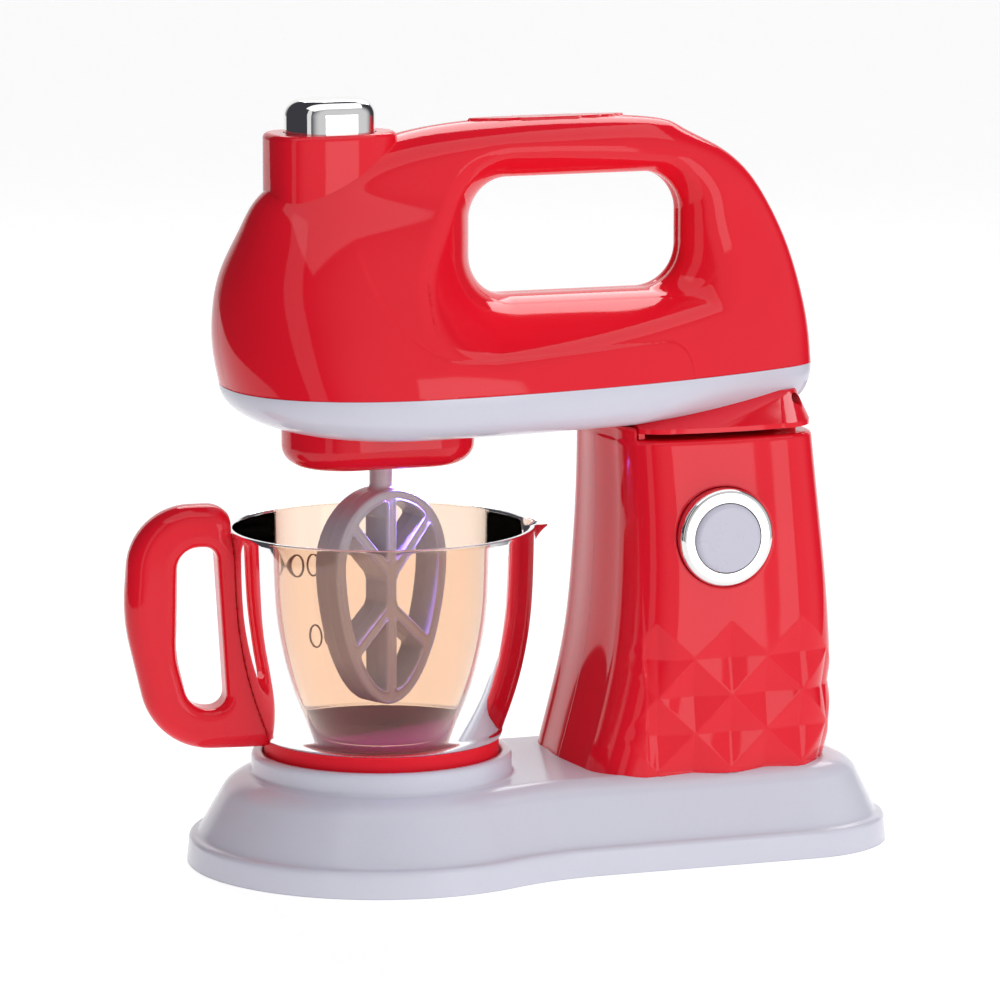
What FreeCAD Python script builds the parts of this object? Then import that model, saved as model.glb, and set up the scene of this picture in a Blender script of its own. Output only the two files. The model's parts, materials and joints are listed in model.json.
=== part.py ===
import FreeCAD, Part
import math
import os

from FreeCAD import Vector

# Toy stand mixer, millimetres, +Z up.
# The origin is on the table, under the middle of the base.
# -X is the nose with the bowl, +X is the column, -Y is the side with the push button.

# Clearances between pieces
RUNNING = 0.05
GAP = 0.3
SEAT = 0.1

# Base
BOWL_X = -50.0
FOOT_R = 60.5
FOOT_HALF = 49.3
FOOT_BACK = 111.0
FOOT_CORNER = 35.0
FOOT_WAIST = 80.0
FLANGE_H = 8.5
FLANGE_STEP = 2.6
PLATEAU_Z = 27.3
NOSE_INSET = 14.0
SIDE_INSET = 11.4
BACK_INSET = 12.6
BASE_EDGE_R = 5.0
BASE_WALL = 2.2
PLATE_T = 2.4
SEAT_R = 40.4
SEAT_TOP = 34.2
SEAT_DEPTH = 2.6
SEAT_EDGE_R = 1.2
BASE_SCREW_SPOTS = [(-96, 0), (-50, 45), (-50, -45), (14, 38), (14, -38), (103, 0)]

# Screws
SCREW_R = 1.4
SCREW_HEAD_R = 2.6
SCREW_HEAD_H = 1.4
SCREW_SLOT = 0.7
BOSS_R = 3.4
SCREW_SEAT_Z = 1.6
BASE_SCREW_L = 9.0
SPLIT_SCREW_L = 20.0
POST_SCREW_L = 9.0

# Batteries and their box
CELL_L = 50.5
CELL_R = 7.25
CELL_PITCH = 15.2
CELL_Z = 10.0
CELL_X = 38.5
CELL_NUB = 1.2
BOX_WALL = 1.5
SPRING_L = 4.0
CONTACT_T = 0.5
BOX_X0 = CELL_X - SPRING_L - CONTACT_T - BOX_WALL
BOX_X1 = CELL_X + CELL_L + CONTACT_T + 0.3 + BOX_WALL
BOX_HALF = CELL_PITCH / 2 + CELL_R + 0.2 + BOX_WALL
BOX_ROOF_Z = CELL_Z + CELL_R + 0.2
BOX_POSTS_X = (44.0, 80.0)
DOOR_PLAY = 0.2
DOOR_SCREW_X = BOX_X1 + 4.0
DOOR_TONGUE_HALF = 5.0

# Column sections: height, front x, back x, half width, corner radius
COLUMN_SECTIONS = [
    (26.4, 9.6, 89.6, 35.6, 16.5),
    (40.0, 13.4, 90.6, 36.0, 16.5),
    (60.0, 18.2, 90.6, 36.0, 16.5),
    (85.0, 20.9, 89.2, 34.8, 16.0),
    (108.0, 21.8, 87.2, 32.6, 15.0),
    (130.2, 21.6, 85.4, 30.0, 14.0),
]
COLUMN_BULGE = 1.2
COLUMN_WALL = 2.4
COLUMN_LIP_X = 25.0
COLUMN_LIP_TOP = 134.0
COLUMN_SCREW_SPOTS = [(26, 24), (26, -24), (78, 22), (78, -22)]
COLUMN_SCREW_L = 14.0
COLUMN_SPLIT_SPOTS = [(27, 50), (83, 50), (28, 120), (79, 117)]
COLUMN_SEAT_Y = 14.0
WIRE_HOLE = (56, 66, -8, 8)
LATCH_HOLE = (30, 62, -12, 12)

# Diamond pattern on the column
DIAMOND_PITCH = 24.0
DIAMOND_ROW = 11.6
DIAMOND_FIRST_X = 28.0
DIAMOND_FIRST_Z = 62.6
DIAMOND_DEPTH = 1.4
DIAMOND_PROUD = 0.3

# Push button on the column
BUTTON_X = 50.4
BUTTON_Z = 100.2
RING_R = 15.4
RING_FACE_Y = -37.0
CAP_R = 10.8
CAP_FACE_Y = -38.2
CAP_TRAVEL = 2.5
RING_BACK_Y = -31.0
BARREL_R = 13.4
BARREL_END_Y = -27.0
CAP_FLANGE_T = 1.6
CAP_STEM_R = 2.4
CAP_STEM_Y = -24.4
BOARD_Y = -18.6
BOARD_T = 1.6
BOARD_POST_R = 1.8
BOARD_POST_DX = 12.0
BOARD_POST_DZ = 11.5
SWITCH_HALF = 4.0

# Head hinge
HINGE_X = 81.0
HINGE_Z = 139.0
HINGE_R = 2.0
EAR_R = 4.0
EAR_IN = 4.0
EAR_OUT = 7.8
EAR_SLOT = 1.0

# Head outline, level by level: height, half width, nose x, rear x, widest x, nose power, rear power
HEAD_SECTIONS = [
    (149.0, 44.0, -99.3, 92.0, -45.0, 2.3, 1.6),
    (160.0, 41.8, -101.6, 91.0, -45.0, 2.3, 1.5),
    (172.0, 37.4, -102.0, 88.6, -45.0, 2.3, 1.4),
    (185.0, 31.6, -99.6, 84.6, -45.0, 2.3, 1.35),
    (198.0, 25.0, -93.6, 78.6, -42.0, 2.3, 1.5),
    (209.0, 18.4, -86.2, 71.4, -38.0, 2.2, 2.0),
    (218.0, 15.6, -68.5, 60.5, -26.0, 2.2, 2.2),
    (224.5, 11.4, -47.0, 48.0, -8.0, 2.2, 2.2),
    (228.4, 4.0, -20.0, 28.0, 4.0, 2.0, 2.0),
]
TAIL_BLUNTNESS = 16
HEAD_WALL = 2.4
BAND_TOP = 149.0
HEAD_SPLIT_SPOTS = [(-34, 198), (-34, 164), (58, 166), (54, 214), (4, 219)]
HEAD_SEAT_Y = 4.0
HEAD_SCREW_L = 10.0

# White tray below the head, level by level: height, half width, nose x, rear x
TRAY_SECTIONS = [
    (149.0, 44.0, -99.3, 92.0),
    (144.0, 43.2, -97.2, 91.4),
    (140.0, 41.0, -92.4, 89.6),
    (137.0, 37.6, -85.4, 86.2),
    (135.2, 33.0, -77.6, 80.4),
    (134.4, 28.0, -70.0, 73.0),
]
TRAY_WALL = 2.2
TRAY_FLOOR = 134.4

# Handle opening, level by level from the middle plane outwards:
# distance from the middle, left x, right x, bottom z, top z, corner radius
OPENING_SECTIONS = [
    (4.0, -23.0, 48.0, 174.6, 211.0, 13.0),
    (10.0, -25.2, 55.0, 173.3, 214.3, 15.0),
    (16.0, -29.2, 68.0, 171.0, 220.5, 18.0),
    (24.0, -37.0, 88.0, 167.3, 231.0, 22.0),
    (46.0, -62.0, 150.0, 157.0, 268.0, 34.0),
]

# Button turret on the head
TURRET_X0 = -86.0
TURRET_X1 = -45.0
TURRET_HALF = 14.2
TURRET_TOP = 226.4
TURRET_WALL = 2.2
TOP_BUTTON_X0 = -80.0
TOP_BUTTON_X1 = -52.0
TOP_BUTTON_HALF = 10.2
TOP_BUTTON_TOP = 236.6
TOP_TRAVEL = 3.0
TOP_BUTTON_MID = (TOP_BUTTON_X0 + TOP_BUTTON_X1) / 2
CAP_FOOT_Z = TURRET_TOP - TURRET_WALL - GAP - CAP_FLANGE_T
TOP_STEM_R = 2.4
TOP_STEM_Z = 207.5
TURRET_WELL_Z = 200.0
SWITCH_SHELF = (-77.0, -55.0, 194.6, 197.0)

# Chin cover below the tray
CHIN_X0 = -80.9
CHIN_X1 = -20.8
CHIN_HALF = 19.5
CHIN_BOTTOM = 123.8
CHIN_WALL = 2.0
LED_X = -38.0
LENS_R = 3.2
LED_BOARD_Z = 128.6

# Neck block between tray and column
NECK_X0 = 25.4
NECK_BOTTOM = 132.4
NECK_SKIRT = 1.5
NECK_TOP = 142.0
NECK_TOP_HALF = 15.0
NECK_ROOF_Z = 139.8
POST_SEAT = 3.6
HEAD_SEAT_T = 1.8
HEAD_POSTS = [
    (-56, 22.4, TRAY_FLOOR + POST_SEAT),
    (-56, -22.4, TRAY_FLOOR + POST_SEAT),
    (2, 18, TRAY_FLOOR + POST_SEAT),
    (2, -18, TRAY_FLOOR + POST_SEAT),
    (48, 8, NECK_TOP),
    (48, -8, NECK_TOP),
]

# Gear train
MODULE = 0.6
PINION_TEETH = 10
WHEEL_TEETH = 36
BACKLASH = 0.16
GEAR_FACE = 4.0
BEATER_GEAR_Z = 143.0
GEAR_STEP = 5.0
SPINDLE_R = 2.5
SPINDLE_TOP_R = 1.8
GEARBOX_Z = 139.6
GEARBOX_T = 2.2
MOTOR_Z = 155.4
MOTOR_R = 10.0
MOTOR_FLAT = 7.6
MOTOR_L = 25.0
GEARBOX_COVER_Z = MOTOR_Z - GEARBOX_T
GEAR_CENTRES = MODULE * (PINION_TEETH + WHEEL_TEETH) / 2
REDUCTION_X = BOWL_X - GEAR_CENTRES
MOTOR_X = REDUCTION_X - GEAR_CENTRES
AXLE_R = 1.1
MOTOR_SHAFT_R = 1.0
GEARBOX_POSTS = [(-70, 13), (-70, -13), (-38, 13), (-38, -13)]
GEARBOX_PILLARS = [(-66, 14.6), (-66, -14.6), (-38, 13), (-38, -13)]
PILLAR_SCREW_R = 1.0
GEARBOX_HALF = 18.0
GEARBOX_REACH = 16.0

# Beater
BEATER_SHAFT_R = 3.5
BEATER_TOP = 116.0
BEATER_BOTTOM = 48.6
BEATER_HALF_W = 22.7
BEATER_WIDE_Z = 93.0
BEATER_HALF_T = 5.3
BEATER_RIM = 4.2
BEATER_BAR = 4.0
BEATER_HUB_HIGH = 89.0
BEATER_HUB_LOW = 79.0
BEATER_SPOKE_HIGH = 108.2
BEATER_SPOKE_LOW = 64.2
BEATER_PLANE_ANGLE = 23.0
BEATER_SHAFT_TOP = 138.6
SPINDLE_FOOT_Z = 126.0

# Bowl
RIM_Z = 104.3
BOWL_WALL = 1.8
BOWL_PROFILE = [(36.6, 38.6), (41.6, 52.7), (44.7, 65.2), (46.5, 78.0), (47.2, 91.0), (47.5, 104.3)]
BOWL_FLOOR_T = 2.0
CUP_R = 36.3
CUP_PLAY = 0.7
SPOUT_REACH = 54.0
SPOUT_ROOT = 41.0
SPOUT_R = 9.5
SPOUT_DROP = 0.12
SPOUT_ANGLE = -10.0
HANDLE_ANGLE = 172.0
HANDLE_T = 14.0
HANDLE_EDGE_R = 4.8
HANDLE_HOLE_EDGE_R = 3.0
HANDLE_OUTLINE = [(32, 36.8), (71, 36.8), (80.5, 78), (78, 112.8), (46.4, 112.8), (46.2, 102.5), (32, 98)]
HANDLE_RADII = [6, 22, 60, 20, 8, 2, 6]
HANDLE_HOLE = [(49.0, 49.6), (60.5, 49.6), (65.0, 66.0), (64.2, 100.0), (52.0, 100.0)]
HANDLE_HOLE_RADII = [4.5, 7.6, 30, 7.0, 4.0]


def save(name, shape):
    """Write one named piece."""
    shape.exportStep("parts/" + name + ".step")


def cylinder(radius, x, y, z0, z1):
    """Upright cylinder between two heights."""
    return Part.makeCylinder(radius, z1 - z0, Vector(x, y, z0), Vector(0, 0, 1))


def cylinder_y(radius, x, z, y0, y1):
    """Cylinder lying along Y."""
    return Part.makeCylinder(radius, y1 - y0, Vector(x, y0, z), Vector(0, 1, 0))


def cylinder_x(radius, y, z, x0, x1):
    """Cylinder lying along X."""
    return Part.makeCylinder(radius, x1 - x0, Vector(x0, y, z), Vector(1, 0, 0))


def box(x0, x1, y0, y1, z0, z1):
    """Box between two corners."""
    return Part.makeBox(x1 - x0, y1 - y0, z1 - z0, Vector(x0, y0, z0))


def fuse(shapes):
    """One shape from several that touch or overlap."""
    first = shapes[0]
    return first.multiFuse(shapes[1:]).removeSplitter() if len(shapes) > 1 else first


def arc_through(a, b, c):
    return Part.Arc(a, b, c).toShape()


def rounded_corner(before, corner, after, radius):
    """Start, middle and end of the arc that rounds one corner."""
    back = (before - corner).normalize()
    on = (after - corner).normalize()
    half = back.getAngle(on) / 2
    cut = radius / math.tan(half)
    middle = (back + on).normalize()
    start = corner + back * cut
    end = corner + on * cut
    centre = corner + middle * (radius / math.sin(half))
    return start, centre - middle * radius, end


def rounded_wire(corners, radii):
    """Closed wire of straight runs with every corner rounded."""
    count = len(corners)
    arcs = []
    for i in range(count):
        arcs.append(rounded_corner(corners[i - 1], corners[i], corners[(i + 1) % count], radii[i]))
    edges = []
    for i in range(count):
        start, middle, end = arcs[i]
        edges.append(arc_through(start, middle, end))
        following = arcs[(i + 1) % count][0]
        if (following - end).Length > 1e-6:
            edges.append(Part.LineSegment(end, following).toShape())
    return Part.Wire(edges)


def base_wire(z, nose_inset, side_inset, back_inset):
    """Outline of the base: round nose, drawn-in waist, straight sides, round back corners."""
    nose = FOOT_R - nose_inset
    half = FOOT_HALF - side_inset
    back = FOOT_BACK - back_inset
    corner = FOOT_CORNER - back_inset
    waist = FOOT_WAIST + side_inset
    waist_x = BOWL_X + math.sqrt((nose + waist) ** 2 - (half + waist) ** 2)
    lean = math.atan2(half + waist, waist_x - BOWL_X)
    touch = (BOWL_X + nose * math.cos(lean), nose * math.sin(lean))
    mid_lean = (lean + 2.5 * math.pi) / 2
    mid = (waist_x + waist * math.cos(mid_lean), half + waist + waist * math.sin(mid_lean))
    corner_x = back - corner
    diagonal = corner * math.sqrt(0.5)
    right = [
        ("arc", touch, mid, (waist_x, half)),
        ("line", (waist_x, half), (corner_x, half)),
        ("arc", (corner_x, half), (corner_x + diagonal, half - corner + diagonal), (back, half - corner)),
    ]
    edges = []
    for kind, *spots in right:
        edges.append(plan_edge(kind, [Vector(x, y, z) for x, y in spots]))
    edges.append(plan_edge("line", [Vector(back, half - corner, z), Vector(back, corner - half, z)]))
    for kind, *spots in reversed(right):
        edges.append(plan_edge(kind, [Vector(x, -y, z) for x, y in reversed(spots)]))
    turn = (lean + math.pi) / 2
    side_spot = (BOWL_X + nose * math.cos(turn), nose * math.sin(turn))
    tip = Vector(BOWL_X - nose, 0, z)
    low = Vector(touch[0], -touch[1], z)
    edges.append(arc_through(low, Vector(side_spot[0], -side_spot[1], z), tip))
    edges.append(arc_through(tip, Vector(side_spot[0], side_spot[1], z), Vector(touch[0], touch[1], z)))
    return Part.Wire(edges)


def plan_edge(kind, spots):
    if kind == "line":
        return Part.LineSegment(*spots).toShape()
    return arc_through(*spots)


def base_block(inset, top, foot):
    """Solid of the base's outer form, drawn in by a wall."""
    flange_low = base_wire(foot, inset, inset, inset)
    flange_high = base_wire(FLANGE_H - inset, inset + 0.8, inset + 0.8, inset + 0.8)
    flange = Part.makeLoft([flange_low, flange_high], True, True)
    step = FLANGE_STEP + inset
    wall_low = base_wire(FLANGE_H - inset - 1.0, step, step, step)
    wall_high = base_wire(top, NOSE_INSET + inset, SIDE_INSET + inset, BACK_INSET + inset)
    return flange.fuse(Part.makeLoft([wall_low, wall_high], True, True))


def edges_at(shape, z):
    """Edges that lie flat at one height."""
    found = []
    for edge in shape.Edges:
        box_ = edge.BoundBox
        if abs(box_.ZMin - z) < 1e-3 and abs(box_.ZMax - z) < 1e-3:
            found.append(edge)
    return found


def column_wire(z, front, back, half, corner, inset=0.0):
    """Outline of the column: rounded rectangle with slightly bowed sides."""
    x0 = front + inset
    x1 = back - inset
    w = half - inset
    r = corner - inset
    k = r * (1 - math.sqrt(0.5))
    bulge = COLUMN_BULGE
    spots = [
        [(x0 + r, -w), ((x0 + x1) / 2, -w - bulge), (x1 - r, -w)],
        [(x1 - r, -w), (x1 - k, -w + k), (x1, -w + r)],
        [(x1, -w + r), (x1 + bulge, 0), (x1, w - r)],
        [(x1, w - r), (x1 - k, w - k), (x1 - r, w)],
        [(x1 - r, w), ((x0 + x1) / 2, w + bulge), (x0 + r, w)],
        [(x0 + r, w), (x0 + k, w - k), (x0, w - r)],
        [(x0, w - r), (x0 - bulge, 0), (x0, -w + r)],
        [(x0, -w + r), (x0 + k, -w + k), (x0 + r, -w)],
    ]
    return Part.Wire([arc_through(*[Vector(x, y, z) for x, y in run]) for run in spots])


def column_block(inset):
    wires = []
    for z, front, back, half, corner in COLUMN_SECTIONS:
        wires.append(column_wire(z, front, back, half, corner, inset))
    return Part.makeLoft(wires, True, False)


def diamond(x, z, side):
    """Sunken four-sided pyramid, closed outwards so that it cuts the wall."""
    half_x = DIAMOND_PITCH / 2
    ring = []
    for dx, dz in ((-half_x, 0), (0, -DIAMOND_ROW), (half_x, 0), (0, DIAMOND_ROW)):
        px = x + dx
        pz = z + dz
        ring.append(Vector(px, side * (diamond_surface(px, pz) + DIAMOND_PROUD), pz))
    inner = Vector(x, side * (diamond_surface(x, z) - DIAMOND_DEPTH), z)
    outer = Vector(x, side * (diamond_surface(x, z) + 3 * DIAMOND_DEPTH), z)
    faces = []
    for i in range(4):
        a = ring[i]
        b = ring[(i + 1) % 4]
        faces.append(Part.Face(Part.makePolygon([a, b, inner, a])))
        faces.append(Part.Face(Part.makePolygon([b, a, outer, b])))
    shell = Part.makeShell(faces)
    solid = Part.makeSolid(shell)
    if solid.Volume < 0:
        solid.reverse()
    return solid


def diamond_surface(x, z):
    """Distance of the column's side wall from the middle plane."""
    z = max(z, COLUMN_SECTIONS[0][0])
    for low, high in zip(COLUMN_SECTIONS, COLUMN_SECTIONS[1:]):
        if z <= high[0]:
            break
    share = (z - low[0]) / (high[0] - low[0])
    x0, x1, half, corner = [low[i] + share * (high[i] - low[i]) for i in (1, 2, 3, 4)]
    middle = (x0 + x1) / 2
    flat = (x1 - x0) / 2 - corner
    away = abs(x - middle)
    if away <= flat:
        return half + COLUMN_BULGE * (1 - (away / flat) ** 2)
    along = min(away - flat, corner * 0.97)
    return half - corner + math.sqrt(corner ** 2 - along ** 2)


def diamonds(side):
    """Rows of diamonds, every other row set half a pitch along."""
    cuts = []
    for row in range(4):
        shift = DIAMOND_PITCH / 2 if row % 2 else 0.0
        for step in range(-1, 3):
            x = DIAMOND_FIRST_X + shift + step * DIAMOND_PITCH
            if x < 14 or x > 78:
                continue
            cuts.append(diamond(x, DIAMOND_FIRST_Z - row * DIAMOND_ROW, side))
    return cuts


def egg_half(z, half, nose, rear, widest, nose_power, rear_power, side):
    """Half of an egg outline, from the rear tip to the nose tip, closed along the middle plane."""
    count = 22
    spots = []
    for i in range(count + 1):
        angle = math.pi * i / count
        c = math.cos(angle)
        s = math.sin(angle)
        if c >= 0:
            power = rear_power + (2.0 - rear_power) * c ** TAIL_BLUNTNESS
            x = widest + (rear - widest) * c ** (2 / power)
            y = half * s ** (2 / power)
        else:
            x = widest - (widest - nose) * (-c) ** (2 / nose_power)
            y = half * s ** (2 / nose_power)
        spots.append(Vector(x, side * y, z))
    spots[0].y = 0.0
    spots[-1].y = 0.0
    curve = Part.BSplineCurve()
    curve.interpolate(spots)
    return Part.Wire([curve.toShape(), Part.LineSegment(spots[-1], spots[0]).toShape()])


def head_half(side, inset=0.0):
    """Half of the head's outer form, or of its hollow."""
    wires = []
    last = len(HEAD_SECTIONS) - 1
    for i, (z, half, nose, rear, widest, nose_power, rear_power) in enumerate(HEAD_SECTIONS):
        drop = inset if i == last else inset * i / last * 0.6
        level = z - drop
        w = max(half - inset, 1.5)
        wires.append(egg_half(level, w, nose + inset * 1.3, rear - inset * 1.3, widest,
                              nose_power, rear_power, side))
    return Part.makeLoft(wires, True, False)


def tray_half(side, inset=0.0):
    """Half of the tray's outer form, or of its hollow."""
    wires = []
    for z, half, nose, rear in reversed(TRAY_SECTIONS):
        level = z if z == BAND_TOP else z + inset * 0.9
        wires.append(egg_half(level, half - inset, nose + inset * 1.2, rear - inset * 1.2, -45.0,
                              2.3, 1.6, side))
    return Part.makeLoft(wires, True, False)


def opening_half(side, grow=0.0):
    """Flared cut of the handle opening on one side of the middle plane."""
    wires = []
    sections = [(0.0,) + OPENING_SECTIONS[0][1:]] + OPENING_SECTIONS
    for away, x0, x1, z0, z1, corner in sections:
        y = side * away
        corners = [
            Vector(x0 - grow, y, z0 - grow),
            Vector(x1 + grow, y, z0 - grow),
            Vector(x1 + grow, y, z1 + grow),
            Vector(x0 - grow, y, z1 + grow),
        ]
        wires.append(rounded_wire(corners, [corner + grow] * 4))
    straight = Part.makeLoft(wires[:2], True, True)
    return straight.fuse(Part.makeLoft(wires[1:], True, False))


def screw_y(x, z, head_y, length):
    """Screw along Y whose head faces +Y."""
    head = cylinder_y(SCREW_HEAD_R, x, z, head_y, head_y + SCREW_HEAD_H)
    shank = cylinder_y(SCREW_R, x, z, head_y - length, head_y)
    return head.fuse(shank).cut(cross_slot_y(x, z, head_y + SCREW_HEAD_H))


def cross_slot_y(x, z, face_y):
    arm = SCREW_HEAD_R * 0.62
    half = SCREW_SLOT / 2
    low = face_y - SCREW_HEAD_H / 2
    high = face_y + 1
    return box(x - arm, x + arm, low, high, z - half, z + half).fuse(
        box(x - half, x + half, low, high, z - arm, z + arm))


def screw_up(x, y, z, length):
    """Screw along Z whose head faces down, with the head's seat at z."""
    head = cylinder(SCREW_HEAD_R, x, y, z - SCREW_HEAD_H, z)
    shank = cylinder(SCREW_R, x, y, z, z + length)
    arm = SCREW_HEAD_R * 0.62
    half = SCREW_SLOT / 2
    low = z - SCREW_HEAD_H - 1
    high = z - SCREW_HEAD_H / 2
    slot = box(x - arm, x + arm, y - half, y + half, low, high).fuse(
        box(x - half, x + half, y - arm, y + arm, low, high))
    return head.fuse(shank).cut(slot)


def prism(wire, height):
    """Upright solid on a flat outline."""
    return Part.Face(wire).extrude(Vector(0, 0, height))


def largest(shape):
    """The main solid of a cut, without loose splinters."""
    return max(shape.Solids, key=lambda solid: solid.Volume)


def stadium(x0, x1, half, z, grow=0.0):
    """Outline with round ends, lying level."""
    a = x0 - grow
    b = x1 + grow
    w = half + grow
    corners = [Vector(a, -w, z), Vector(b, -w, z), Vector(b, w, z), Vector(a, w, z)]
    return rounded_wire(corners, [w * 0.96] * 4)


# Base pieces


def base_shell():
    outer = base_block(0.0, PLATEAU_Z, 0.0)
    outer = outer.makeFillet(BASE_EDGE_R, edges_at(outer, PLATEAU_Z))
    seat = cylinder(SEAT_R, BOWL_X, 0, PLATEAU_Z - 1, SEAT_TOP)
    seat = seat.makeFillet(SEAT_EDGE_R, edges_at(seat, SEAT_TOP))
    recess_z = SEAT_TOP - SEAT_DEPTH
    body = outer.fuse(seat)
    body = body.cut(cylinder(CUP_R + CUP_PLAY, BOWL_X, 0, recess_z, SEAT_TOP + 1))
    body = body.cut(base_block(BASE_WALL, PLATEAU_Z - BASE_WALL, -1.0))
    body = body.cut(cylinder(SEAT_R - BASE_WALL, BOWL_X, 0, PLATEAU_Z - 3, recess_z - BASE_WALL))
    body = body.cut(prism(base_wire(-1.0, BASE_WALL, BASE_WALL, BASE_WALL), PLATE_T + 1.0))
    for x, y in BASE_SCREW_SPOTS:
        boss = cylinder(BOSS_R, x, y, PLATE_T, PLATEAU_Z - 1).common(outer)
        body = body.fuse(boss)
    for x, y in BASE_SCREW_SPOTS:
        body = body.cut(cylinder(SCREW_R, x, y, PLATE_T - 1, PLATE_T + BASE_SCREW_L))
    body = body.cut(column_block(-SEAT))
    for x, y in COLUMN_SCREW_SPOTS:
        body = body.cut(cylinder(SCREW_R, x, y, PLATEAU_Z - 4, PLATEAU_Z + 1))
    return largest(body.cut(box(*WIRE_HOLE, PLATEAU_Z - 4, PLATEAU_Z + 1)))


def door_outline(play):
    """Battery door: a rectangle with a tongue for its screw."""
    x0 = BOX_X0 + BOX_WALL + play
    x1 = BOX_X1 - BOX_WALL - play
    y = BOX_HALF - BOX_WALL - play
    tongue = DOOR_TONGUE_HALF - play
    spots = [(x0, -y), (x1, -y), (x1, -tongue), (DOOR_SCREW_X + BOSS_R - play, -tongue),
             (DOOR_SCREW_X + BOSS_R - play, tongue), (x1, tongue), (x1, y), (x0, y), (x0, -y)]
    return Part.Wire(Part.makePolygon([Vector(px, py, 0) for px, py in spots]))


def base_plate():
    edge = BASE_WALL + SEAT
    plate = prism(base_wire(0, edge, edge, edge), PLATE_T)
    for x, y in BASE_SCREW_SPOTS:
        plate = plate.cut(cylinder(SCREW_HEAD_R + GAP, x, y, -1, SCREW_SEAT_Z))
        plate = plate.cut(cylinder(SCREW_R, x, y, 0, PLATE_T + 1))
    return plate.cut(prism(door_outline(0.0), PLATE_T))


def base_screws():
    return Part.makeCompound([screw_up(x, y, SCREW_SEAT_Z, BASE_SCREW_L) for x, y in BASE_SCREW_SPOTS])


def battery_door():
    door = prism(door_outline(DOOR_PLAY), PLATE_T)
    door = door.cut(cylinder(SCREW_HEAD_R + GAP, DOOR_SCREW_X, 0, -1, SCREW_SEAT_Z))
    door = door.cut(cylinder(SCREW_R, DOOR_SCREW_X, 0, 0, PLATE_T + 1))
    x = BOX_X0 + 9
    for i in range(4):
        door = door.cut(box(x + 2.4 * i, x + 2.4 * i + 1.2, -6, 6, -1, 0.6))
    return door


def battery_box():
    roof = BOX_ROOF_Z
    outer = box(BOX_X0, BOX_X1, -BOX_HALF, BOX_HALF, PLATE_T, roof + BOX_WALL)
    inner = box(BOX_X0 + BOX_WALL, BOX_X1 - BOX_WALL, BOX_WALL - BOX_HALF, BOX_HALF - BOX_WALL,
                PLATE_T - 1, roof)
    body = outer.cut(inner)
    under = PLATEAU_Z - BASE_WALL
    for x in BOX_POSTS_X:
        body = body.fuse(cylinder(BOSS_R, x, 0, roof, under))
    boss = cylinder(BOSS_R, DOOR_SCREW_X, 0, PLATE_T, BOX_ROOF_Z)
    web = box(BOX_X1 - BOX_WALL, DOOR_SCREW_X, -1, 1, PLATE_T, BOX_ROOF_Z)
    body = body.fuse(boss).fuse(web)
    return body.cut(cylinder(SCREW_R, DOOR_SCREW_X, 0, PLATE_T - 1, SCREW_SEAT_Z + BASE_SCREW_L))


def battery_cell(side):
    """One AA cell with its raised positive end, which way round depends on the side."""
    y = side * CELL_PITCH / 2
    can = cylinder_x(CELL_R, y, CELL_Z, CELL_X, CELL_X + CELL_L - CELL_NUB)
    nub = cylinder_x(CELL_R * 0.38, y, CELL_Z, CELL_X + CELL_L - CELL_NUB, CELL_X + CELL_L)
    cell = can.fuse(nub)
    if side > 0:
        cell.rotate(Vector(CELL_X + CELL_L / 2, y, CELL_Z), Vector(0, 0, 1), 180)
    return cell


def batteries():
    return Part.makeCompound([battery_cell(-1), battery_cell(1)])


def battery_contacts():
    """Contact strips at both ends of the box, each with a spring cup and a flat pad."""
    pieces = []
    y = CELL_PITCH / 2
    for end, wall in ((1, BOX_X0 + BOX_WALL), (-1, BOX_X1 - BOX_WALL)):
        x0 = min(wall, wall + end * CONTACT_T)
        strip = box(x0, x0 + CONTACT_T, -y - 4, y + 4, CELL_Z - 4, CELL_Z + 4)
        for side in (-1, 1):
            face = wall + end * CONTACT_T
            cell_end = CELL_X if end > 0 else CELL_X + CELL_L
            reach = sorted((face, cell_end))
            radius = CELL_R * (0.6 if side == -end else 0.3)
            pad = cylinder_x(radius, side * y, CELL_Z, reach[0], reach[1])
            strip = strip.fuse(pad)
        pieces.append(strip)
    return Part.makeCompound(pieces)


# Column pieces


def split_bosses(spots, side, seat_y, length):
    """Screw bosses that meet at the middle plane, with the screw heads sunk on the +Y side."""
    solids = []
    holes = []
    for x, z in spots:
        if side < 0:
            solids.append(cylinder_y(BOSS_R, x, z, -70, 0))
            holes.append(cylinder_y(SCREW_R, x, z, seat_y - length, 1))
        else:
            solids.append(cylinder_y(BOSS_R + 0.8, x, z, 0, 70))
            holes.append(cylinder_y(SCREW_R, x, z, -1, seat_y + 1))
            holes.append(cylinder_y(SCREW_HEAD_R + GAP, x, z, seat_y, 71))
    return solids, holes


def half_space(side):
    return box(-150, 170, -90, 0, -5, 260) if side < 0 else box(-150, 170, 0, 90, -5, 260)


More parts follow.
